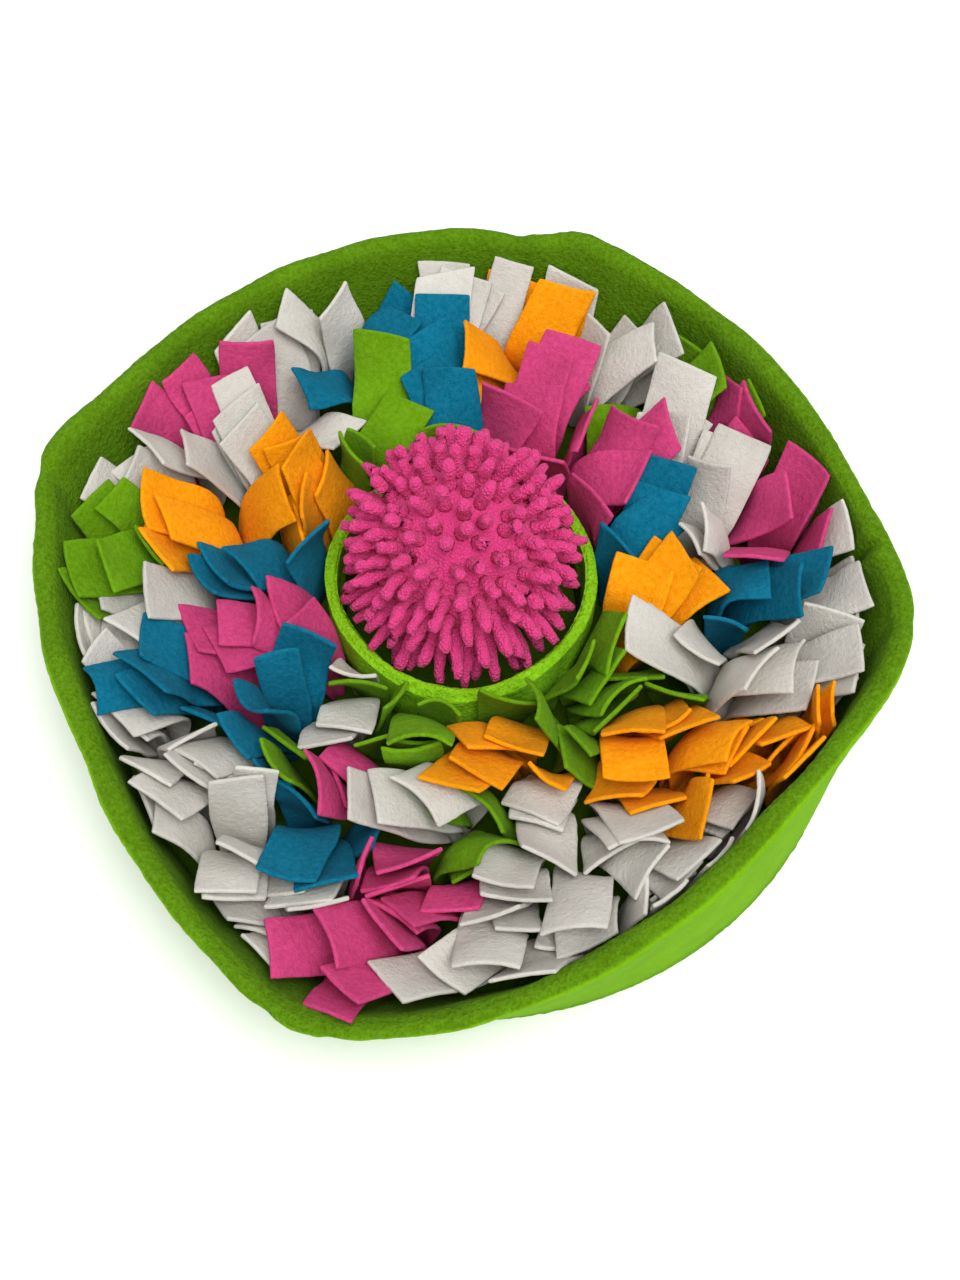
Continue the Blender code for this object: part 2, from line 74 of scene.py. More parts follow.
# -------------------- camera
CAMERA_TARGET = Vector((0.006, -0.008, 0.040))
CAMERA_DISTANCE = 1.02
CAMERA_ELEVATION = 61.0  # degrees above the horizon
CAMERA_LENS = 54.98  # millimetres, for a frame 36 mm high


# -------------------- colours and settings
def linear(hex_colour):
    """Linear red, green and blue of an sRGB hex value."""
    values = [int(hex_colour[i:i + 2], 16) / 255.0 for i in (1, 3, 5)]
    return tuple(v / 12.92 if v <= 0.04045 else ((v + 0.055) / 1.055) ** 2.4 for v in values)


def colour_property(name, description, hex_colour):
    return FloatVectorProperty(name=name, description=description, subtype="COLOR", min=0.0, max=1.0,
                               default=linear(hex_colour))


def length_property(name, description, metres):
    return FloatProperty(name=name, description=description, default=metres, unit="LENGTH")


class SnuffleMatColours(bpy.types.PropertyGroup):
    """Dye of each cloth."""
    green: colour_property("Green", "Fleece of the wall, the cup, the base and some strips", "#689A05")
    white: colour_property("White", "White fleece strips", "#D0CCC3")
    pink: colour_property("Pink", "Pink fleece strips", "#CE437B")
    teal: colour_property("Teal", "Teal fleece strips", "#006D8B")
    orange: colour_property("Orange", "Orange fleece strips", "#FF9C00")
    noodle: colour_property("Noodle", "Chenille of the ball", "#FA4A94")


class SnuffleMatStrips(bpy.types.PropertyGroup):
    """How the fleece strips are cut and lie."""
    width: length_property("Width", "Width of a strip", 0.0330)
    thickness: length_property("Thickness", "Thickness of the fleece", 0.0022)
    curl: length_property("Curl", "How far a strip's edges curl up or down at most", 0.0085)
    strips: IntProperty(name="Strips", description="Most strips in the whole pile", default=330)
    cards: IntProperty(name="Cards", description="How many of them are laid close beside another", default=60)
    seed: IntProperty(name="Seed", description="Start of the random numbers that lay the strips", default=2)


class SnuffleMatBall(bpy.types.PropertyGroup):
    """Sizes of the noodle ball."""
    core: length_property("Core", "Radius of the cloth under the noodles", 0.046)
    reach: length_property("Reach", "Radius to the noodles' tips", 0.0665)
    noodle: length_property("Noodle", "Radius of a noodle", 0.0036)
    noodles: IntProperty(name="Noodles", description="Noodles on the whole ball", default=235)


# -------------------- materials
# Fleece with its thick side out, whose longer nap has its hollows painted darker as shade and its tops
# painted lighter as highlight.
NAPPED = {"grain": 0.0014, "pills": 0.0025, "depth": 0.0014, "mottle": 0.24}
PATCHES = 1.0 / 45.0  # size of the worn and fresh patches of fleece
LOOP = 0.0016  # size of the chenille's loops and of their fibres
FIBRE = 0.0006


def feed(material, inputs, node=None):
    """Set the sockets of a node, or of the shader, to values or to the outputs that feed them."""
    node = node or material.node_tree.nodes["Principled BSDF"]
    for socket, value in inputs.items():
        if isinstance(value, bpy.types.NodeSocket):
            material.node_tree.links.new(value, node.inputs[socket])
        else:
            node.inputs[socket].default_value = value


def add_node(material, kind, inputs, **settings):
    """Add a shader node and give its outputs."""
    node = material.node_tree.nodes.new("ShaderNode" + kind)
    for name, value in settings.items():
        setattr(node, name, value)
    feed(material, inputs, node)
    return node.outputs


def map_range(material, value, low, high, to_low, to_high):
    return add_node(material, "MapRange", {"Value": value, "From Min": low, "From Max": high,
                                           "To Min": to_low, "To Max": to_high})[0]


def mix_colours(material, factor, one, two):
    return add_node(material, "Mix", {"Factor": factor, 6: one, 7: two}, data_type="RGBA")[2]


def shaded(colour, factor, more=0.0):
    """A colour made darker or lighter, with its alpha."""
    return tuple(min(1.0, c * factor + more) for c in colour) + (1.0,)


def start_cloth(name):
    """New material, the points' places in the piece and their tones."""
    material = bpy.data.materials.new(name)
    material.use_nodes = True
    place = add_node(material, "TexCoord", {})["Object"]
    return material, place, add_node(material, "Attribute", {}, attribute_name="tone")


def finish_cloth(material, dyed, tone, height, depth, strength, looks):
    """Tone the dyed cloth, raise its height and set how it takes the light."""
    toned = add_node(material, "VectorMath", {0: dyed, 1: tone["Color"]}, operation="MULTIPLY")
    bump = add_node(material, "Bump", {"Height": height, "Distance": depth, "Strength": strength})
    feed(material, {"Base Color": toned[0], "Normal": bump[0], **looks})
    return material


def make_fleece(name, colour, mottle, grain=0.0009, pills=0.0028, depth=0.0007):
    """Brushed polyester fleece.

    Its short nap scatters light, so it has no gloss and a pale bloom where it turns away.  Small pills stand
    on it;
    the nap's hollows are painted darker as shade and the pills' tops lighter as highlight.
    Grain and pills are the real sizes of those in metres.
    """
    material, place, tone = start_cloth(name)
    nap, pill, patch = [
        add_node(material, "TexNoise", {"Vector": place, "Scale": 1.0 / size, "Detail": detail,
                                        "Roughness": rough})["Fac"]
        for size, detail, rough in ((grain, 3.0, 0.65), (pills, 2.0, 0.5), (PATCHES, 2.0, 0.5))]
    height = add_node(material, "Math", {0: nap, 1: pill}, operation="ADD")[0]
    # Painted shade in the nap's hollows and painted highlight on the pills' tops, by how high the nap stands
    # there.
    painted_nap_light = map_range(material, height, 0.75, 1.25, 0.0, 1.0)
    pale = shaded(colour, 1.0 + 0.5 * mottle, 0.01)
    nap_painted_shade_and_light = mix_colours(material, painted_nap_light, shaded(colour, 1.0 - mottle), pale)
    cloth = mix_colours(material, tone["Alpha"], (*colour, 1.0), nap_painted_shade_and_light)
    shade = map_range(material, patch, 0.3, 0.7, 0.92, 1.05)
    dyed = add_node(material, "VectorMath", {0: cloth, "Scale": shade}, operation="SCALE")[0]
    return finish_cloth(material, dyed, tone, height, depth, tone["Alpha"],
                        {"Roughness": 0.95, "Specular IOR Level": 0.05, "Sheen Weight": 0.05,
                         "Sheen Roughness": 0.45, "Sheen Tint": shaded(colour, 0.7, 0.3)})


def make_chenille(name, colour):
    """Microfibre chenille: tight loops that give each noodle a knobbly, matt skin, with the pits between the
    loops painted darker as shade and the loops' tops a little lighter.
    """
    material, place, tone = start_cloth(name)
    loops = add_node(material, "TexVoronoi", {"Vector": place, "Scale": 1.0 / LOOP})
    fibres = add_node(material, "TexNoise", {"Vector": place, "Scale": 1.0 / FIBRE, "Detail": 2.0})
    knobs = map_range(material, loops["Distance"], 0.0, 0.7, 1.0, 0.0)
    height = add_node(material, "Math", {0: fibres["Fac"], 1: 0.5, 2: knobs}, operation="MULTIPLY_ADD")[0]
    # Painted shade in the pits between the loops and a little painted light on their tops.
    dyed = mix_colours(material, knobs, shaded(colour, 0.70), shaded(colour, 1.05))
    return finish_cloth(material, dyed, tone, height, KNOB_HEIGHT, 1.0,
                        {"Roughness": 0.9, "Specular IOR Level": 0.15, "Sheen Weight": 0.15,
                         "Sheen Roughness": 0.4, "Sheen Tint": shaded(colour, 0.5, 0.5)})


def cloth_material(dye, kind="polyester", **looks):
    """The fleece of a dye, made once.  White shows the least painted shade and highlight on its nap and
    pills.
    """
    name = f"{dye} {kind} fleece looks"
    colour = tuple(getattr(bpy.context.scene.snuffle_mat_colours, dye))
    looks.setdefault("mottle", 0.05 if dye == "white" else 0.16)
    return bpy.data.materials.get(name) or make_fleece(name, colour, **looks)


# -------------------- mesh helpers
def deselect_all():
    for obj in bpy.context.selected_objects:
        obj.select_set(False)


def finish_piece(obj, nodes, material):
    """Link a piece, give it its cloth and let it stand for its solids."""
    obj.data.materials.append(material)
    obj.data.shade_smooth()
    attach(obj, "root")
    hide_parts(*nodes)


def new_object(name, bm, turn=True):
    """Object of a bmesh, with its faces turned outwards."""
    if turn:
        bmesh.ops.recalc_face_normals(bm, faces=bm.faces)
    mesh = bpy.data.meshes.new(name)
    bm.to_mesh(mesh)
    bm.free()
    return place_object(name, mesh)


def place_object(name, data):
    obj = bpy.data.objects.new(name, data)
    bpy.context.scene.collection.objects.link(obj)
    return obj


def bridge(bm, rings, closed=True, capped=False):
    """Faces between each ring of points and the next, and over both ends."""
    count = len(rings[0])
    for here, there in zip(rings, rings[1:]):
        for k in range(count if closed else count - 1):
            n = (k + 1) % count
            bm.faces.new((here[k], here[n], there[n], there[k]))
    if capped:
        bm.faces.new(list(reversed(rings[0])))
        bm.faces.new(rings[-1])


def add_tone(obj, tones, naps=None):
    """Store each point's tone, a factor on its colour that holds random variation and, on several pieces,
    painted light and shade, and how much of its nap shows.
    """
    layer = obj.data.attributes.new("tone", "FLOAT_COLOR", "POINT")
    naps = naps or [1.0] * len(tones)
    flat = [value for tone, nap in zip(tones, naps) for value in (tone, tone, tone, nap)]
    layer.data.foreach_set("color", flat)


def merged(node):
    """bmesh of a CAD node with its loose triangles joined."""
    bm = bmesh.new()
    bm.from_mesh(node.data)
    bmesh.ops.remove_doubles(bm, verts=bm.verts, dist=MERGE)
    return bm


def node_tree(node):
    bm = merged(node)
    tree = BVHTree.FromBMesh(bm)
    bm.free()
    return tree


def smooth_between(before, start, end, after, t):
    """Catmull-Rom point between start and end."""
    return 0.5 * (2.0 * start + (end - before) * t
                  + (2.0 * before - 5.0 * start + 4.0 * end - after) * t * t
                  + (3.0 * start - before - 3.0 * end + after) * t * t * t)


def along_open(points, share):
    """Point of a smooth open line at a share of its length, run on straight past its end."""
    last = len(points) - 1
    place = share * last
    i = min(last - 1, int(place))
    before = points[i - 1] if i > 0 else points[0] * 2.0 - points[1]
    after = points[i + 2] if i + 2 <= last else points[last] * 2.0 - points[last - 1]
    if place > last:
        return points[last] + (points[last] - points[last - 1]) * (place - last)
    return smooth_between(before, points[i], points[i + 1], after, place - i)


def around_closed(points, place):
    """Point of a smooth closed line at a place counted in points."""
    count = len(points)
    i = int(math.floor(place))
    return smooth_between(*[points[(i + k) % count] for k in (-1, 0, 1, 2)], place - i)


# -------------------- wall, cup and base
def ring_stations(node, centre):
    """Profiles of a ring-shaped solid by heading, each from the outer foot over the top to the inner foot."""
    bm = merged(node)
    stations = {}
    for vertex in bm.verts:
        away = vertex.co - centre
        heading = round(math.degrees(math.atan2(away.y, away.x)) * 10.0) % 3600
        stations.setdefault(heading, []).append((math.hypot(away.x, away.y), vertex.co.z))
    bm.free()
    rows = []
    for heading, points in sorted(stations.items()):
        levels = {}
        for radius, z in points:
            levels.setdefault(round(z * 20000), []).append((radius, z))
        pairs = [pair for _, pair in sorted(levels.items()) if len(pair) > 1]
        top = max(points, key=lambda p: p[1])
        profile = [max(pair) for pair in pairs] + [top] + [min(pair) for pair in reversed(pairs)]
        rows.append((heading / 10.0, [Vector(p) for p in profile]))
    return rows


def make_ring(name, node, centre, stations, turns, detail):
    """Fine soft ring over a ring-shaped solid.

    Detail gives, for a heading, the share of the way along the profile and the point's height, how far the
    cloth stands out there.
    """
    rows = ring_stations(node, centre)
    levels = list(zip(*[points for _, points in rows]))
    bm = bmesh.new()
    grid = []
    for s in range(stations):
        profile = [around_closed(level, s * len(rows) / stations) for level in levels]
        heading = 360.0 * s / stations + rows[0][0]
        angle = math.radians(heading)
        ring = []
        for t in range(turns):
            share = t / (turns - 1)
            here = along_open(profile, share)
            ahead = along_open(profile, min(1.0, share + 0.01)) - along_open(profile, max(0.0, share - 0.01))
            out = Vector((ahead.y, -ahead.x)).normalized()
            here = here + out * detail(heading, share, here.y)
            ring.append(bm.verts.new(centre + Vector((here.x * math.cos(angle), here.x * math.sin(angle),
                                                      max(here.y, profile[0].y)))))
        grid.append(ring)
    bridge(bm, grid + grid[:1])
    return new_object(name, bm)


def from_cup(x, y):
    """Distance of places from the cup's middle."""
    return np.hypot(x - CUP_CENTRE.x, y - CUP_CENTRE.y)


def unit(vectors):
    return vectors / np.linalg.norm(vectors, axis=-1)[..., None]


def smooth_step(low, high, value):
    part = min(1.0, max(0.0, (value - low) / (high - low)))
    return part * part * (3.0 - 2.0 * part)


def bell(distance, width):
    return math.exp(-(distance / width) ** 2)


def turn_between(a, b):
    """Signed degrees from b to a."""
    return (a - b + 180.0) % 360.0 - 180.0


WALL_TURNS = 56  # points around the wall's profile
OUTER_PAINTED_LIGHT = 1.25  # the outer face is the smooth side of the fleece; its brighter tone is painted light
OUTER_NAP = 0.3
# painted shade on the rolled top of the wall
RIM_PAINTED_SHADE = 0.76
# deeper painted shade on the wall's inner face
INNER_PAINTED_SHADE = 0.62
SEAM_HEADING = 7.0  # upright seam that closes the wall
SEAM_WIDTH = 0.8  # degrees
SEAM_DEPTH = 0.0030
SEAM_LIPS = 1.9  # degrees to where the cloth swells beside it
WALL_STITCH = 0.006  # height of the seam that joins the wall to the base
CREASES = (  # heading and lean in degrees, and depth, of each crease of the wall
    (81.0, 30.0, 0.0022), (166.0, -40.0, 0.0018), (246.0, 25.0, 0.0016), (257.0, -30.0, 0.0012),
    (352.0, 35.0, 0.0012))


def ring_noise(heading, fine, height, aside=0.0):
    """Noise that runs on around a ring."""
    angle = math.radians(heading)
    return noise.noise(Vector((math.cos(angle) * fine + aside, math.sin(angle) * fine, height)))


def wall_detail(heading, share, z):
    """Soft swell of the padding, creases under the rolled edge, the upright seam and the foot's seam."""
    swell = 0.0016 * ring_noise(heading, 6.0, z * 22.0) * min(1.0, z / 0.02)
    fine = 0.00045 * ring_noise(heading, 60.0, z * 260.0 + share * 9.0)
    from_seam = turn_between(heading, SEAM_HEADING)
    seam = 0.0010 * bell(abs(from_seam) - SEAM_LIPS, 0.9) - SEAM_DEPTH * bell(from_seam, SEAM_WIDTH)
    seam *= smooth_step(0.50, 0.62, share)
    creases = 0.0
    for where, lean, depth in CREASES:
        away = turn_between(heading, where + lean * (z - 0.06) * 3.0)
        creases -= depth * bell(away, 1.6) * min(1.0, z / 0.05)
    foot = -0.0012 * bell(z - WALL_STITCH, 0.0016)
    return swell + fine + seam * min(1.0, z / 0.01) + creases + foot


CUP_ROLL = 0.0030  # how much thicker the cup's rolled edge is at its front, on the inside
CUP_FRONT = 262.0
CUP_FRONT_WIDTH = 55.0
CUP_SEAM = 118.0
CUP_BAND = 0.0072  # points of the cup further in than this are on its inner face


def cup_detail(heading, share, z):
    """Soft swell, the plump rolled edge at the front and the seam that closes the cup."""
    roll = CUP_ROLL * bell(turn_between(heading, CUP_FRONT), CUP_FRONT_WIDTH)
    roll *= smooth_step(0.44, 0.56, share) * (1.0 - smooth_step(0.62, 0.82, share))
    swell = 0.0009 * ring_noise(heading, 3.0, z * 30.0, aside=7.0)
    fine = 0.00035 * ring_noise(heading, 22.0, z * 300.0 + share * 9.0)
    seam = -0.0018 * bell(turn_between(heading, CUP_SEAM), 1.6)
    return swell + fine + seam + roll


class SNUFFLE_OT_wall(bpy.types.Operator):
    """Padded fleece wall with its rolled edge, its upright seam and its creases"""
    bl_idname = "snuffle.wall"
    bl_label = "Wall"

    def execute(self, context):
        wall = make_ring("fleece_wall", NODES["wall"], Vector(), 720, WALL_TURNS, wall_detail)
        tones, naps = [], []
        for i, vertex in enumerate(wall.data.vertices):
            share = i % WALL_TURNS / (WALL_TURNS - 1)
            up = smooth_step(0.36, 0.44, share)
            within = smooth_step(0.54, 0.66, share)
            # Painted light on the outer face, painted shade on the rolled top and deeper painted shade on the
            # inner face.
            tone = OUTER_PAINTED_LIGHT + (RIM_PAINTED_SHADE - OUTER_PAINTED_LIGHT) * up + (INNER_PAINTED_SHADE - RIM_PAINTED_SHADE) * within
            tones.append(tone + 0.05 * noise.noise(vertex.co * 40.0))
            naps.append(OUTER_NAP + (1.0 - OUTER_NAP) * up)
        add_tone(wall, tones, naps)
        finish_piece(wall, ["wall"], cloth_material("green", "napped", **NAPPED))
        return {"FINISHED"}


class SNUFFLE_OT_cup(bpy.types.Operator):
    """Fleece cup that holds the ball"""
    bl_idname = "snuffle.cup"
    bl_label = "Cup"

    def execute(self, context):
        cup = make_ring("fleece_cup", NODES["cup"], CUP_CENTRE, 360, 40, cup_detail)
        inside = (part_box("cup")[1][0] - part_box("cup")[0][0]) / 2.0 - CUP_BAND
        tones = []
        for vertex in cup.data.vertices:
            # Painted shade low inside the cup, under the ball, and painted light on the rim and outer face,
            # strongest low on the outer face.
            low = 1.0 - smooth_step(0.030, 0.044, vertex.co.z)
            tone = 1.0 - 0.65 * low if (vertex.co - CUP_CENTRE).xy.length < inside else 1.9 + 0.6 * low
            tones.append(tone + 0.05 * noise.noise(vertex.co * 50.0))
        add_tone(cup, tones)
        finish_piece(cup, ["cup"], cloth_material("green", "napped", **NAPPED))
        return {"FINISHED"}


BASE_TUCK = 0.0015  # how far the base runs on into the wall's foot
BASE_PAINTED_SHADE = 0.40  # painted shade: the base is darkened for the deep shade under the strips that hang over it


class SNUFFLE_OT_base(bpy.types.Operator):
    """Round fleece panel under the strips"""
    bl_idname = "snuffle.base"
    bl_label = "Base"

    def execute(self, context):
        low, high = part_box("base")
        radius = (high[0] - low[0]) / 2.0 + BASE_TUCK
        thickness = high[2] - low[2]
        deselect_all()
        bpy.ops.mesh.primitive_circle_add(vertices=144, radius=radius, fill_type="NGON")
        base = context.active_object
        base.name = "fleece_base"
        bpy.ops.object.mode_set(mode="EDIT")
        bpy.ops.mesh.select_all(action="SELECT")
        for share in (0.02, 0.08, 0.2, 0.3, 0.4, 0.4):
            bpy.ops.mesh.inset(thickness=radius * share * 0.6, depth=0.0)
        bpy.ops.object.mode_set(mode="OBJECT")
        solidify = base.modifiers.new("thickness", "SOLIDIFY")
        solidify.thickness = thickness
        solidify.offset = 1.0
        bpy.ops.object.modifier_apply(modifier="thickness")
        lowest = min(v.co.z for v in base.data.vertices)
        for vertex in base.data.vertices:
            vertex.co.z -= lowest
            if vertex.co.z > thickness / 2.0 and vertex.co.xy.length < radius * 0.97:
                vertex.co.z += 0.0002 * noise.noise(vertex.co * 90.0)
        # The base is painted darker all over, as the shade under the strips.
        add_tone(base, [BASE_PAINTED_SHADE] * len(base.data.vertices))
        finish_piece(base, ["base"], cloth_material("green"))
        return {"FINISHED"}


# -------------------- ball
KNOB_HEIGHT = 0.0011  # of the chenille's loops
LOWEST_NOODLE = -0.55  # the ball sits on the cloth below this share of its radius
GOLDEN_TURN = math.pi * (3.0 - math.sqrt(5.0))  # from one noodle of the spiral to the next
BALL_POLE = Vector((0.12, -0.45, 0.88)).normalized()  # where the spiral starts
NOODLE_SWING = 0.0034  # how far a tip stands aside at most
FRONT_DROOP = 0.0075  # how far tips hang down at the front
BACK_DROOP = 0.0020


def noodle_mesh(bm, root, tip, bend, radius, sides=8, rings=7):
    """Knobbly tube from the ball's core to its tip, bowed by bend, with a round end."""
    shares = [r / (rings - 1) for r in range(rings)]
    points = [root.lerp(tip, share) + bend * (share * share) for share in shares]
    made = []
    for r, share in enumerate(shares):
        ahead = (points[min(rings - 1, r + 1)] - points[max(0, r - 1)]).normalized()
        side = ahead.orthogonal().normalized()
        other = ahead.cross(side)
        half = radius * (0.92 + 0.14 * math.sin(share * 9.0 + root.x * 900.0))
        half *= {0: 1.2, rings - 1: 0.62}.get(r, 1.0)
        ring = []
        for k in range(sides):
            angle = 2.0 * math.pi * (k + 0.5 * (r % 2)) / sides
            ring.append(bm.verts.new(points[r] + (side * math.cos(angle) + other * math.sin(angle)) * half))
        made.append(ring)
    bridge(bm, made, capped=True)


class SNUFFLE_OT_ball(bpy.types.Operator):
    """Ball covered in microfibre chenille noodles"""
    bl_idname = "snuffle.ball"
    bl_label = "Noodle Ball"

    def execute(self, context):
        sizes = context.scene.snuffle_mat_ball
        draw = random.Random(3)
        bm = bmesh.new()
        bmesh.ops.create_icosphere(bm, subdivisions=4, radius=sizes.core)
        turn = Vector((0.0, 0.0, 1.0)).rotation_difference(BALL_POLE)
        for i in range(sizes.noodles):
            height = 1.0 - 2.0 * (i + 0.5) / sizes.noodles
            level = math.sqrt(1.0 - height * height)
            out = Vector((math.cos(GOLDEN_TURN * i) * level, math.sin(GOLDEN_TURN * i) * level, height))
            out = turn @ (out + Vector([draw.uniform(-0.03, 0.03) for _ in range(3)])).normalized()
            if out.z < LOWEST_NOODLE:
                continue
            swing = Vector([draw.uniform(-1.0, 1.0) for _ in range(3)]) * NOODLE_SWING
            low = 1.0 - out.z * out.z
            fall = Vector((0.0, 0.0, -FRONT_DROOP if out.y < 0.0 else -BACK_DROOP)) * low
            longer = 0.0060 * abs(out.y) ** 1.5 * low
            length = (sizes.reach + longer) * draw.uniform(0.955, 1.0) - sizes.noodle
            noodle_mesh(bm, out * (sizes.core - 0.001), out * length, swing + fall, sizes.noodle)
        bmesh.ops.translate(bm, verts=bm.verts, vec=BALL_CENTRE)
        ball = new_object("noodle_ball", bm)
        tones = []
        normals = [vertex.normal.copy() for vertex in ball.data.vertices]
        for vertex, normal in zip(ball.data.vertices, normals):
            away = vertex.co - BALL_CENTRE
            share = (away.length - sizes.core) / (sizes.reach - sizes.core)
            knob = noise.noise(vertex.co * 520.0)
            vertex.co += normal * (KNOB_HEIGHT * knob if share > 0.05 else 0.0)
            vertex.co.z = max(vertex.co.z, KNOT_FOOT)
            # Painted shade toward the core, under the noodles; painted shade where the knobbly skin sinks and
            # painted light where it swells.
            tones.append(0.94 + 0.06 * min(1.0, max(0.0, share * 1.6)) + 0.14 * knob)
        add_tone(ball, tones)
        colour = tuple(context.scene.snuffle_mat_colours.noodle)
        finish_piece(ball, ["ball"], make_chenille("pink microfibre chenille looks", colour))
        return {"FINISHED"}


# -------------------- fleece strips
VIEW_SLOPE = 1.0 / math.tan(math.radians(CAMERA_ELEVATION))
SOLID_WIDTH = 0.030  # of the solids' tails
MIDDLE_TOP = 0.070  # height to which filling strips rise in the middle
WALL_TOP = 0.084  # and beside the wall
HIGHEST_TIP = 0.084
CUP_KEPT = 0.110  # distance from the cup's centre within which strips may not hide the cup
HIDING_COST = 3.0
OVER_SHARE = 0.3  # worth of a point over cloth beside that of one over a bare place
CHECKED_SHARES = (0.25, 0.5, 0.75, 1.0)  # places along and across a strip that have to be free
CHECKED_SPOTS = (-1.0, -0.75, -0.5, -0.25, 0.0, 0.25, 0.5, 0.75, 1.0)
SEEN_SPOTS = (-0.9, -0.45, 0.0, 0.45, 0.9)
FILL_SHARES = np.linspace(0.1, 1.0, 9)
FILL_SPOTS = np.linspace(-1.0, 1.0, 17)

EXTRA_GUESSES = 8000
EXTRA_RANGES = (
    (0.0, 2.0 * math.pi),   # heading
    (0.0, 0.036),           # how far back from the bare place the strip rises
    (0.034, 0.078),         # height at which it is to cover the place
    (-14.0, 26.0),          # lean in degrees
    (-14.0, 14.0),          # roll in degrees
    (0.0135, 0.0175),       # length from one section to the next
    (0.15, 1.0),            # softness, a share of each bend
)
EXTRA_LEANS = ((-6.0, 30.0), (0.0, 38.0), (2.0, 42.0), (-4.0, 40.0))  # degrees that each bend leans further
EXTRA_WIDTHS = (0.34, 0.80, 1.0, 1.0, 1.0)  # of the strip's width, at its sections from the knot outwards
EXTRA_FOOT = 0.0056  # height of an extra strip's root
EXTRA_REACH = 0.058  # how far an extra strip may be from the knot that it goes with
EXTRA_KINDS = ((SOLID_WIDTH, 9.0), (0.023, 6.0))  # width, and sampled points that have to cover a bare place
CARD_LEAST = 5.0
ROOT_SHARES = (0.8, 1.0)  # of the first span, whose root is gathered in the knot
BEND_TURN = 13.0  # degrees that a strip turns at a bend at most
BEND_ROLL = 12.0
BEND_TRIES = 6
KEPT_AT_ONCE = 4
MOST_IDLE = 8  # tries in a row that find nothing
MOST_IDLE_CARDS = 12
MOST_LEAN = math.radians(115.0)
OUTSIDE = 0.140  # distance from the middle past which strips stand beside the wall
OUTSIDE_STEP = 1.15  # there they are longer
FRONT_TO_BACK = (-0.10, 0.05)  # between these places the liking changes
LIKING = {  # of extras for a dye, at the back and at the front
    "green": (1.1, 2.6), "white": (1.1, 0.60), "pink": (0.85, 0.85), "teal": (0.62, 0.62),
    "orange": (1.05, 1.45)}


class Tail:
    """One fleece tail: the middle of its left and right edge at each section, from the knot outwards."""

    def __init__(self, tuft, left, right, extra=False):
        self.tuft = tuft
        self.left = left
        self.right = right
        self.extra = extra

    def hold(self, rows):
        """Keep a search tree over a grid of points."""
        points = [p for row in rows for p in row]
        across = len(rows[0])
        faces = [(a, a + 1, a + across + 1, a + across) for a in range(len(points) - across)
                 if (a + 1) % across]
        self.tree = BVHTree.FromPolygons(points, faces)
        self.low = [min(p[i] for p in points) for i in range(3)]
        self.high = [max(p[i] for p in points) for i in range(3)]

    def meets(self, other):
        return (all(self.low[i] < other.high[i] and other.low[i] < self.high[i] for i in range(3))
                and bool(self.tree.overlap(other.tree)))


def neighbours(vertices):
    return {edge.other_vert(vertex) for vertex in vertices for edge in vertex.link_edges}


def read_tails(name):
    """Trace the tails of a tuft's solid, ring by ring from its knot."""
    bm = merged(NODES[name])
    knot = {v for v in bm.verts if min(abs(v.co.z - KNOT_FOOT), abs(v.co.z - KNOT_TOP)) < LEVEL_SLACK}
    left_over = set(bm.verts) - knot
    tails = []
    while left_over:
        group = {left_over.pop()}
        while neighbours(group) - knot - group:
            group |= neighbours(group) - knot
        left_over -= group
        ring = neighbours(group) & knot
        left, right = [], []
        while ring:
            ordered = sorted(ring, key=lambda v: tuple(v.co))
            first = ordered[0]
            mate = min(ordered[1:], key=lambda v: (v.co - first.co).length)
            rest = [v for v in ordered if v not in (first, mate)]
            a = (first.co + mate.co) / 2.0
            b = (rest[0].co + rest[1].co) / 2.0
            if left:
                straight = (a - left[-1]).length + (b - right[-1]).length
                crossed = (a - right[-1]).length + (b - left[-1]).length
                if straight > crossed:
                    a, b = b, a
            left.append(a)
            right.append(b)
            group -= ring
            ring = neighbours(ring) & group
        if len(left) != TAIL_RINGS + 1:
            raise RuntimeError(f"{name}: a tail has {len(left)} rings")
        tails.append(Tail(name, left, right))
    bm.free()
    tails.sort(key=lambda tail: tuple(tail.left[0]))
    return tails


ACROSS = (-1.0, -0.93, -0.5, 0.0, 0.5, 0.93, 1.0)
ALONG = (0.0, 0.07, 0.15, 0.23, 0.31, 0.39, 0.47, 0.55, 0.63, 0.71, 0.79, 0.87, 0.94, 0.98, 1.0)
PLAIN_ACROSS = (-1.0, 0.0, 1.0)
PLAIN_ALONG = (0.0, 0.2, 0.4, 0.6, 0.8, 1.0)
TIP_FROM = 0.55  # share of a strip's length from which its tip turns
CUT_FROM = 0.9  # and from which its cut end takes its shape
PLEAT = 0.0016  # depth of the folds beside the knot
PLEATED = 0.35  # share of the length that they reach


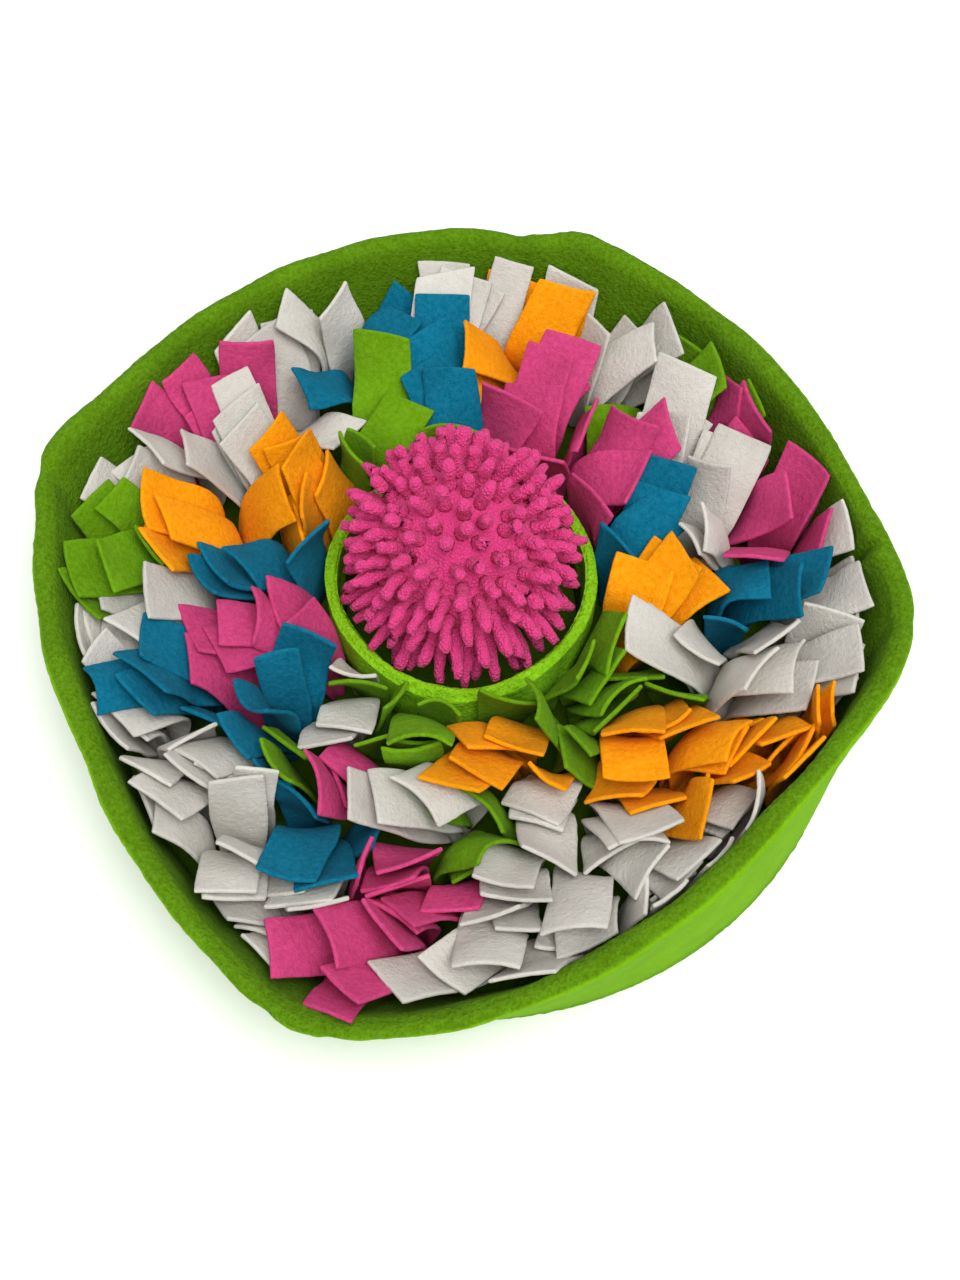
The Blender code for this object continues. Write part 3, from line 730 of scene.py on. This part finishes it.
def strip_grid(tail, look, width, across=ACROSS, along=ALONG):
    """Points of a strip's middle surface, row by row from the knot, with close rows where it is cut.

    Look holds how this one curls, ripples and is cut.
    """
    middles = [(a + b) / 2.0 for a, b in zip(tail.left, tail.right)]
    halves = [(b - a) / 2.0 for a, b in zip(tail.left, tail.right)]
    phase = look["phase"]
    rows = []
    for v in along:
        share = v * look["reach"]
        middle = along_open(middles, share)
        half = along_open(halves, min(1.0, share))
        ahead = along_open(middles, share + 0.02) - along_open(middles, max(0.0, share - 0.02))
        normal = half.cross(ahead).normalized()
        ahead = ahead.normalized()
        grow = 1.0 + (width / SOLID_WIDTH - 1.0) * min(1.0, v * 3.0)
        cut = max(0.0, v - CUT_FROM) * 10.0
        row = []
        for u in across:
            lift = look["curl"] * (u * u - 0.35) * min(1.0, v * 1.6) ** 1.5
            lift += look["tip"] * max(0.0, v - TIP_FROM) ** 2 * 4.0 * (1.0 + 0.6 * look["corner"] * u)
            lift += look["twist"] * u * v * v + look["wave"] * v * math.sin(v * 4.7 + phase)
            lift += look["ripple"] * math.sin(v * look["waves"] + phase + 2.2 * u) * abs(u) ** 1.5
            lift += PLEAT * math.cos(2.6 * math.pi * u + phase) * max(0.0, 1.0 - v / PLEATED)
            wobble = 1.0 + 0.025 * math.sin(v * 5.0 + phase * 3.0 + (2.0 if u > 0 else 0.0))
            point = middle + half * (u * grow * wobble * (1.0 + look["taper"] * v)) + normal * lift
            point -= half * (u * look["round"] * cut ** 2)
            point += ahead * ((look["skew"] * u + look["notch"] * (1.0 - u * u)) * cut)
            row.append(point)
        rows.append(row)
    return rows


class PileRoom:
    """The mat's inside as small cells, each free or filled with cloth.

    Seen keeps, for columns of cells along a line of view, the height of the topmost cloth, which is how a
    strip is judged by what it would cover.
    """
    CELL = 0.002
    LOW = np.array((-0.235, -0.240, 0.0))
    COUNT = np.array((235, 240, 45))
    COLUMN = 0.005
    LEVEL = 0.064  # height of the plane on which the view is counted
    RIM = 0.079
    BACKED = 0.075  # height up to which strips stand in front of the back wall
    GAP = 0.0015  # kept free beside the wall and the cup
    SEEN_GAP = 0.003  # strip of the view beside the wall that may stay bare
    FLOOR = 0.0065
    CUP_TOP = 0.050
    BALL = 0.0685  # radius kept free for the ball
    LOWEST_SEEN = 0.022  # cloth lower than this counts as bare
    RISE = (0.13, 0.05)  # where the pile begins to rise to the wall's height, and how far it takes
    HIDDEN = ((BALL_CENTRE.z, 0.070), (0.047, 0.073), (0.032, 0.073))  # height and radius of ball and cup

    def __init__(self):
        x, y, z = [self.LOW[i] + (np.arange(self.COUNT[i]) + 0.5) * self.CELL for i in range(3)]
        x, y = np.meshgrid(x, y, indexing="ij")
        wall = ring_radius(NODES["wall"], Vector(), z, x, y, inner=True)
        cup = ring_radius(NODES["cup"], CUP_CENTRE, z, x, y, inner=False)
        out = np.hypot(x, y)[:, :, None]
        from_ball = np.sqrt(((x - BALL_CENTRE.x) ** 2 + (y - BALL_CENTRE.y) ** 2)[:, :, None]
                            + (z - BALL_CENTRE.z)[None, None, :] ** 2)
        full = out > wall - self.GAP
        full |= (from_cup(x, y)[:, :, None] < cup + self.GAP) & (z < self.CUP_TOP)[None, None, :]
        full |= from_ball < self.BALL
        top = MIDDLE_TOP + (WALL_TOP - MIDDLE_TOP) * np.clip((out - self.RISE[0]) / self.RISE[1], 0.0, 1.0)
        full |= (z < self.FLOOR)[None, None, :] | (z[None, None, :] > top)
        self.full = full.ravel()

    def watch(self, slope, middles, halves):
        """Look down on the pile along a line that leans forwards by the slope, over the strips in place."""
        self.slope = slope
        columns = [int(self.COUNT[i] * self.CELL / self.COLUMN) + 1 for i in (0, 1)]
        x, y = np.meshgrid(*[self.LOW[i] + (np.arange(columns[i]) + 0.5) * self.COLUMN for i in (0, 1)],
                           indexing="ij")
        wall = ring_radius(NODES["wall"], Vector(), (self.LEVEL,), x, y, inner=True)[:, :, 0] - self.SEEN_GAP
        inside = ((np.hypot(x, y - slope * (self.BACKED - self.LEVEL)) < wall)
                  & (np.hypot(x, y - slope * (self.RIM - self.LEVEL)) < wall))
        for height, radius in self.HIDDEN:
            inside &= from_cup(x, y - slope * (height - self.LEVEL)) > radius
        self.seen = np.where(inside, 0.0, 1.0)
        for middle, half in zip(middles, halves):
            self.fill(middle, half)

    def cells(self, points):
        """Numbers of the cells that points lie in, and which points are in the room at all."""
        place = np.floor((points - self.LOW) / self.CELL).astype(int)
        inside = ((place >= 0) & (place < self.COUNT)).all(axis=-1)
        place = np.clip(place, 0, self.COUNT - 1)
        return (place[..., 0] * self.COUNT[1] + place[..., 1]) * self.COUNT[2] + place[..., 2], inside

    def clear(self, middles, halves, spans=range(1, TAIL_RINGS), shares=CHECKED_SHARES):
        """Which of many strips run through free cells only."""
        cells, inside = self.cells(cloth_points(middles, halves, spans, shares, CHECKED_SPOTS))
        return (inside & ~self.full[cells]).all(axis=1)

    def columns(self, points):
        across = ((points[..., 0] - self.LOW[0]) / self.COLUMN).astype(int)
        slid = points[..., 1] + self.slope * (points[..., 2] - self.LEVEL)
        along = ((slid - self.LOW[1]) / self.COLUMN).astype(int)
        return np.clip(across, 0, self.seen.shape[0] - 1), np.clip(along, 0, self.seen.shape[1] - 1)

    def gain(self, middles, halves):
        """How much of each strip would be seen, counting bare places for more than cloth."""
        points = cloth_points(middles, halves, range(1, TAIL_RINGS), CHECKED_SHARES, SEEN_SPOTS)
        seen = self.seen[self.columns(points)]
        bare = (seen == 0.0) & (points[..., 2] > self.LOWEST_SEEN)
        over = (seen > 0.0) & (points[..., 2] > seen + 0.001)
        hides = ((seen == 1.0) & (points[..., 1] < CUP_CENTRE.y)
                 & (from_cup(points[..., 0], points[..., 1]) < CUP_KEPT))
        return bare.sum(axis=1) + OVER_SHARE * over.sum(axis=1) - HIDING_COST * hides.sum(axis=1)

    def fill(self, middles, halves):
        """Mark the cells and columns that one strip takes up."""
        points = cloth_points(middles[None], halves[None], range(TAIL_RINGS), FILL_SHARES, FILL_SPOTS)[0]
        each = FILL_SHARES.size * FILL_SPOTS.size
        ahead = np.repeat(middles[1:] - middles[:-1], each, axis=0)
        normal = unit(np.cross(np.repeat(halves[1:], each, axis=0), ahead))
        for side in (0.0009, -0.0009):
            self.full[self.cells(points + normal * side)[0]] = True
        high = points[points[:, 2] > self.LOWEST_SEEN]
        np.maximum.at(self.seen, self.columns(high), high[:, 2])


def ring_radius(node, centre, z, x, y, inner):
    """Radius of a ring's inner or outer face at each place and height."""
    rows = ring_stations(node, centre)
    table = []
    for _, points in rows:
        half = points[len(points) // 2 + 1:][::-1] if inner else points[:len(points) // 2]
        table.append(np.interp(z, [p.y for p in half], [p.x for p in half]))
    table = np.array(table + table[:1])
    place = np.degrees(np.arctan2(y - centre.y, x - centre.x)) % 360.0 / 360.0 * len(rows)
    first = np.floor(place).astype(int) % len(rows)
    part = (place - np.floor(place))[:, :, None]
    return table[first] * (1.0 - part) + table[first + 1] * part


def cloth_points(middles, halves, spans, shares, spots):
    """Points of many strips' cloth, between the sections at the start and end of each span."""
    shares = np.asarray(shares)[None, :, None]
    found = []
    for k in spans:
        middle = middles[:, k, None] * (1.0 - shares) + middles[:, k + 1, None] * shares
        half = halves[:, k, None] * (1.0 - shares) + halves[:, k + 1, None] * shares
        points = middle[:, :, None] + half[:, :, None] * np.asarray(spots)[None, None, :, None]
        found.append(points.reshape(len(middles), points.shape[1] * points.shape[2], 3))
    return np.concatenate(found, axis=1)


def grow_strips(draw, room, width):
    """Many strips that each rise near a bare place and bend over it, as sections' middles and half widths."""
    bare = np.argwhere(room.seen == 0.0)
    over = bare[draw.integers(len(bare), size=EXTRA_GUESSES)] + draw.random((EXTRA_GUESSES, 2))
    count = len(over)
    heading, back, height, lean, roll, step, softness = [draw.uniform(*ends, count) for ends in EXTRA_RANGES]
    lean, roll = np.radians(lean), np.radians(roll)
    middles = np.zeros((count, TAIL_RINGS + 1, 3))
    halves = np.zeros((count, TAIL_RINGS + 1, 3))
    middles[:, 0, 0] = room.LOW[0] + over[:, 0] * room.COLUMN - np.cos(heading) * back
    middles[:, 0, 1] = (room.LOW[1] + over[:, 1] * room.COLUMN - room.slope * (height - room.LEVEL)
                        - np.sin(heading) * back)
    middles[:, 0, 2] = EXTRA_FOOT
    halves[:, 0, 0] = -np.sin(heading) * width * EXTRA_WIDTHS[0] / 2.0
    halves[:, 0, 1] = np.cos(heading) * width * EXTRA_WIDTHS[0] / 2.0
    step *= np.where(np.hypot(middles[:, 0, 0], middles[:, 0, 1]) > OUTSIDE, OUTSIDE_STEP, 1.0)
    alive = np.ones(count, dtype=bool)
    for k in range(TAIL_RINGS):
        left = alive.copy()
        for _ in range(BEND_TRIES):
            todo = np.flatnonzero(left)
            if not len(todo):
                break
            new_lean = lean[todo] + np.radians(draw.uniform(*EXTRA_LEANS[k], len(todo))) * softness[todo]
            new_heading = heading[todo] + np.radians(draw.uniform(-BEND_TURN, BEND_TURN, len(todo)))
            new_roll = roll[todo] + np.radians(draw.uniform(-BEND_ROLL, BEND_ROLL, len(todo)))
            tilt = (lean[todo] + new_lean) / 2.0
            cos, sin = np.cos(new_heading), np.sin(new_heading)
            ahead = np.stack((cos * np.sin(tilt), sin * np.sin(tilt), np.cos(tilt)), axis=1)
            across = np.stack((-sin, cos, 0.0 * sin), axis=1)
            face = np.cross(across, ahead)
            half = across * np.cos(new_roll)[:, None] + face * np.sin(new_roll)[:, None]
            middles[todo, k + 1] = middles[todo, k] + ahead * step[todo, None]
            halves[todo, k + 1] = half * (width * EXTRA_WIDTHS[k + 1] / 2.0)
            clear = room.clear(middles[todo], halves[todo], (k,), CHECKED_SHARES if k else ROOT_SHARES)
            clear &= new_lean < MOST_LEAN
            placed = todo[clear]
            lean[placed], heading[placed], roll[placed] = new_lean[clear], new_heading[clear], new_roll[clear]
            left[placed] = False
        alive &= ~left
    return middles[alive], halves[alive]


CARD_PICKS = 600
CARD_LIFT = (0.0034, 0.0056)  # how far a card lies from the strip beside it
CARD_TURN = (7.0, 24.0)  # degrees that it is turned
CARD_FURTHER = (-0.005, 0.011)
CARD_ASIDE = 0.034  # length over which the turn takes its tip aside


def fan_cards(draw, room, middles, halves):
    """Strips close under or over ones in place, turned a little and reaching further, like fanned cards."""
    pick = draw.integers(len(middles), size=CARD_PICKS)
    middles, halves = np.array(middles)[pick], np.array(halves)[pick]
    lift = draw.choice((-1.0, 1.0), CARD_PICKS) * draw.uniform(*CARD_LIFT, CARD_PICKS)
    spin = np.radians(draw.uniform(*CARD_TURN, CARD_PICKS)) * draw.choice((-1.0, 1.0), CARD_PICKS)
    further = draw.uniform(*CARD_FURTHER, CARD_PICKS)
    ahead = unit(np.gradient(middles, axis=1))
    normal = unit(np.cross(halves, ahead))
    normal *= np.sign(normal[:, 2:3, 2:3])
    share = np.linspace(0.0, 1.0, TAIL_RINGS + 1)[None, :, None]
    length = np.linalg.norm(halves, axis=2)[:, :, None]
    spin = spin[:, None, None]
    turned = halves * np.cos(spin * share) + ahead * (length * np.sin(spin * share))
    aside = -halves / length * (np.sin(spin) * CARD_ASIDE * share)
    cards = middles + normal * lift[:, None, None] + ahead * (further[:, None, None] * share) + aside
    clear = room.clear(cards, turned)
    return cards[clear], turned[clear]


def tuft_beside(draw, knots, foot):
    """Tuft that an extra strip goes with: its knot is near, and its dye is drawn by how it's liked there."""
    front = 1.0 - smooth_step(*FRONT_TO_BACK, foot.y)
    away = {name: (knot - foot).xy.length for name, knot in knots.items()}
    reach = max(EXTRA_REACH, min(away.values()) + 0.001)

    def cost(name):
        at_back, at_front = LIKING[name.split("_")[1]]
        return away[name] / (at_back + (at_front - at_back) * front) * draw.uniform(0.7, 1.3)

    return min((name for name in away if away[name] < reach), key=cost)


def add_extras(tails, sizes):
    """Strips between those of the solids, until the base hardly shows, and then cards beside the strips."""
    draw = np.random.default_rng(sizes.seed)
    room = PileRoom()
    left = np.array([tail.left for tail in tails])
    right = np.array([tail.right for tail in tails])
    middles, halves = list((left + right) / 2.0), list((right - left) / 2.0)
    knots = {}
    for tail in tails:
        knots.setdefault(tail.tuft, (tail.left[0] + tail.right[0]) / 2.0)

    def keep_best(found_middles, found_halves, least):
        """Keep the few found strips that cover most, and say how many."""
        gains = room.gain(found_middles, found_halves)
        gains *= draw.uniform(0.6, 1.0, len(gains))
        kept = 0
        for i in np.argsort(-gains)[:KEPT_AT_ONCE * 3]:
            middle, half = found_middles[i], found_halves[i]
            if kept == KEPT_AT_ONCE or len(tails) == sizes.strips or gains[i] < least:
                break
            if room.clear(middle[None], half[None])[0]:
                room.fill(middle, half)
                middles.append(middle)
                halves.append(half)
                tails.append(Tail(tuft_beside(draw, knots, Vector(middle[1])),
                                  [Vector(m - h) for m, h in zip(middle, half)],
                                  [Vector(m + h) for m, h in zip(middle, half)], extra=True))
                kept += 1
        return kept

    def lay(find, least, most_idle, most_strips):
        """Find and keep strips until several tries in a row find none."""
        idle = 0
        while idle < most_idle and len(tails) < most_strips:
            idle = 0 if keep_best(*find(), least) else idle + 1

    for slope in (VIEW_SLOPE, 0.0):
        room.watch(slope, middles, halves)
        for width, least in EXTRA_KINDS:
            lay(lambda: grow_strips(draw, room, width), least, MOST_IDLE, sizes.strips - sizes.cards)
    room.watch(VIEW_SLOPE, middles, halves)
    lay(lambda: fan_cards(draw, room, middles, halves), CARD_LEAST, MOST_IDLE_CARDS, sizes.strips)


def draw_look(draw, curl):
    """How one strip lies: most curl a little, a few scroll."""
    scroll = 1.0 if draw.random() < 0.4 else 0.45
    return {
        "reach": draw.uniform(1.06, 1.24),
        "broad": draw.uniform(0.90, 1.05),
        "curl": draw.choice((-1.0, 1.0)) * curl * scroll * draw.uniform(0.2, 1.0),
        "tip": draw.uniform(-1.0, 1.0) * 0.008,
        "corner": draw.uniform(-1.0, 1.0),
        "ripple": draw.uniform(0.0004, 0.0020),
        "waves": draw.uniform(4.0, 9.0),
        "phase": draw.uniform(0.0, 6.28),
        "twist": draw.uniform(-1.0, 1.0) * 0.0085,
        "wave": draw.uniform(-1.0, 1.0) * 0.0050,
        "taper": draw.uniform(-0.09, 0.07),
        "skew": draw.uniform(-1.0, 1.0) * 0.0045,
        "notch": draw.uniform(-0.8, 1.0) * 0.0008,
        "round": draw.uniform(0.0, 0.045),
    }


EASES = (*[1.0] * 4, *[0.75] * 3, *[0.5] * 3, 0.25, 0.25, 0.0, 0.0)  # tried in turn
TALL = 0.045  # tips beside the wall above this reach further
BACK_FURTHER = 0.34  # share of its length that a strip at the back reaches further
FRONT_FURTHER = 0.20


def lay_strips(tails, sizes):
    """Give every strip its curl, eased where it would run into another."""
    draw = random.Random(sizes.seed)
    shells = [node_tree(NODES[name]) for name in ("wall", "cup", "ball", "base")]
    plain = dict.fromkeys(draw_look(random.Random(0), 0.0), 0.0) | {"reach": 1.0}
    for tail in tails:
        tail.hold(strip_grid(tail, plain, SOLID_WIDTH, PLAIN_ACROSS, PLAIN_ALONG)[1:])
    laid = []
    for tail in list(tails):
        tip = (tail.left[-1] + tail.right[-1]) / 2.0
        further = 0.0
        if tip.xy.length > OUTSIDE and tip.z > TALL:
            further = BACK_FURTHER if tip.y > 0.0 else FRONT_FURTHER
        others = [other for other in tails if other is not tail]
        for ease in EASES:
            look = draw_look(draw, sizes.curl)
            for part in ("curl", "tip", "twist", "wave"):
                look[part] *= ease
            look["reach"] = 1.0 + (look["reach"] + further - 1.0) * ease
            width = SOLID_WIDTH + (sizes.width * look["broad"] - SOLID_WIDTH) * ease
            rows = strip_grid(tail, look, width)
            tail.hold(rows[3:])
            if tail.high[2] > HIGHEST_TIP:
                continue
            if not any(map(tail.meets, others)) and not any(map(tail.tree.overlap, shells)):
                break
        else:
            if tail.extra:
                tails.remove(tail)
                continue
        laid.append((tail, rows))
    return laid


KNOT_ROWS = ((0.0, 0.86), (0.003, 1.0), (0.006, 0.96), (0.009, 0.80))  # height over its foot, and swell
KNOT_SIDES = 12
KNOT_SLACK = 0.0005  # corners whose distances from the middle differ by less are equally far
# painted shade: knots are darker, low under their strips
KNOT_PAINTED_SHADE = 0.8


def knot_shape(bm, name):
    """Knot of a tuft: its solid's box as a plump band."""
    source = merged(NODES[name])
    corners = [v.co.copy() for v in source.verts if abs(v.co.z - KNOT_FOOT) < LEVEL_SLACK]
    source.free()
    centre = sum(corners, Vector()) / len(corners)
    far = max(corners, key=lambda c: (c - centre).length)
    others = sorted(corners, key=lambda c: (c - far).length)
    side = next(c for c in others[1:] if abs((c - centre).length - (far - centre).length) < KNOT_SLACK)
    one = (far + side) / 2.0 - centre
    two = (far - side) / 2.0
    rings = []
    for height, swell in KNOT_ROWS:
        ring = []
        for k in range(KNOT_SIDES):
            angle = 2.0 * math.pi * k / KNOT_SIDES
            x, y = math.cos(angle), math.sin(angle)
            round_off = (abs(x) ** 3 + abs(y) ** 3) ** (-1.0 / 3.0) * 0.93
            point = centre + (one * x + two * y) * (round_off * swell) + Vector((0.0, 0.0, height))
            ring.append(bm.verts.new(point))
        rings.append(ring)
    bridge(bm, rings, capped=True)


def make_tuft(name, laid, sizes, draw):
    """Piece of one tuft: its strips, solid and rounded at their cut edges, and its knot."""
    bm = bmesh.new()
    tone_layer = bm.verts.layers.float.new("strip_tone")
    for _, rows in laid:
        strip_tone = draw.uniform(0.90, 1.06)
        grid = [[bm.verts.new(point) for point in row] for row in rows]
        for vertex in [vertex for row in grid for vertex in row]:
            vertex[tone_layer] = strip_tone
        bridge(bm, grid, closed=False)
    strips = new_object("strips", bm, turn=False)
    deselect_all()
    bpy.context.view_layer.objects.active = strips
    solidify = strips.modifiers.new("thickness", "SOLIDIFY")
    solidify.thickness = sizes.thickness
    solidify.offset = 0.0
    smooth = strips.modifiers.new("round", "SUBSURF")
    smooth.levels = smooth.render_levels = 1
    bpy.ops.object.modifier_apply(modifier="thickness")
    bpy.ops.object.modifier_apply(modifier="round")

    bm = bmesh.new()
    bm.from_mesh(strips.data)
    bpy.data.objects.remove(strips, do_unlink=True)
    tone_layer = bm.verts.layers.float["strip_tone"]
    tones = [vertex[tone_layer] for vertex in bm.verts]
    before = len(bm.verts)
    knot_shape(bm, name)
    # Knots are painted darker, as shade under the strips.
    tones += [KNOT_PAINTED_SHADE] * (len(bm.verts) - before)
    for vertex in bm.verts:
        vertex.co += vertex.normal * (0.00022 * noise.noise(vertex.co * 420.0))
    piece = new_object(f"{name}_strips", bm)
    piece.data.attributes.remove(piece.data.attributes["strip_tone"])
    add_tone(piece, tones)
    dye = name.split("_")[1]
    finish_piece(piece, [name], cloth_material(dye))


class SNUFFLE_OT_strips(bpy.types.Operator):
    """Tufts of fleece strips, each knotted through the base"""
    bl_idname = "snuffle.strips"
    bl_label = "Fleece Strips"

    def execute(self, context):
        sizes = context.scene.snuffle_mat_strips
        draw = random.Random(sizes.seed + 1)
        tails = [tail for name in TUFT_NAMES for tail in read_tails(name)]
        add_extras(tails, sizes)
        laid = lay_strips(tails, sizes)
        for name in TUFT_NAMES:
            make_tuft(name, [item for item in laid if item[0].tuft == name], sizes, draw)
        return {"FINISHED"}


# -------------------- stage
def aim(obj, target):
    obj.rotation_mode = "QUATERNION"
    obj.rotation_quaternion = (Vector(target) - obj.location).to_track_quat("-Z", "Y")


KEY_PLACE = (0.30, -0.60, 1.60)  # a wide soft window in front of the mat, a little to the right
KEY_STRENGTH = 2.6
KEY_SOFTNESS = 38.0  # degrees that it spans
ROOM_STRENGTH = 0.62
PAPER = (0.94, 0.94, 0.94, 1.0)


class SNUFFLE_OT_stage(bpy.types.Operator):
    """Pale floor, soft light and the camera"""
    bl_idname = "snuffle.stage"
    bl_label = "Stage"

    def execute(self, context):
        deselect_all()
        bpy.ops.mesh.primitive_plane_add(size=8.0)
        floor = context.active_object
        floor.name = "floor"
        paper = bpy.data.materials.new("matt white paper sweep")
        paper.use_nodes = True
        feed(paper, {"Base Color": PAPER, "Roughness": 1.0, "Specular IOR Level": 0.0})
        floor.data.materials.append(paper)

        world = bpy.data.worlds.new("soft white room")
        world.use_nodes = True
        background = world.node_tree.nodes["Background"]
        feed(world, {"Color": (1.0, 1.0, 1.0, 1.0), "Strength": ROOM_STRENGTH}, background)
        context.scene.world = world

        light = bpy.data.lights.new("key", "SUN")
        light.energy = KEY_STRENGTH
        light.angle = math.radians(KEY_SOFTNESS)
        lamp = place_object("key", light)
        lamp.location = KEY_PLACE
        aim(lamp, (0.0, 0.0, 0.0))

        camera = bpy.data.cameras.new("camera")
        camera.sensor_fit = "VERTICAL"
        camera.sensor_height = 36.0
        camera.lens = CAMERA_LENS
        camera.clip_start = 0.01
        holder = place_object("camera", camera)
        elevation = math.radians(CAMERA_ELEVATION)
        back = Vector((0.0, -math.cos(elevation), math.sin(elevation)))
        holder.location = CAMERA_TARGET + CAMERA_DISTANCE * back
        aim(holder, CAMERA_TARGET)
        context.scene.camera = holder
        context.scene.view_settings.view_transform = "Standard"
        context.scene.view_settings.look = "None"
        return {"FINISHED"}


class SNUFFLE_PT_panel(bpy.types.Panel):
    """Builds the mat's pieces"""
    bl_idname = "SNUFFLE_PT_panel"
    bl_label = "Snuffle Mat"
    bl_space_type = "VIEW_3D"
    bl_region_type = "UI"
    bl_category = "Snuffle Mat"

    def draw(self, context):
        for group in ("snuffle_mat_colours", "snuffle_mat_strips", "snuffle_mat_ball"):
            settings = getattr(context.scene, group)
            for name in settings.__annotations__:
                self.layout.prop(settings, name)
        for operator in OPERATORS:
            self.layout.operator(operator.bl_idname)


GROUPS = {
    "snuffle_mat_colours": SnuffleMatColours,
    "snuffle_mat_strips": SnuffleMatStrips,
    "snuffle_mat_ball": SnuffleMatBall,
}
OPERATORS = (SNUFFLE_OT_wall, SNUFFLE_OT_base, SNUFFLE_OT_cup, SNUFFLE_OT_ball, SNUFFLE_OT_strips,
             SNUFFLE_OT_stage)


def register():
    for cls in (*GROUPS.values(), *OPERATORS, SNUFFLE_PT_panel):
        bpy.utils.register_class(cls)
    for name, group in GROUPS.items():
        setattr(bpy.types.Scene, name, PointerProperty(type=group))


def unregister():
    for name in GROUPS:
        delattr(bpy.types.Scene, name)
    for cls in reversed((*GROUPS.values(), *OPERATORS, SNUFFLE_PT_panel)):
        bpy.utils.unregister_class(cls)


def main():
    register()
    bpy.ops.snuffle.wall()
    bpy.ops.snuffle.base()
    bpy.ops.snuffle.cup()
    bpy.ops.snuffle.ball()
    bpy.ops.snuffle.strips()
    bpy.ops.snuffle.stage()


if __name__ == "__main__":
    main()
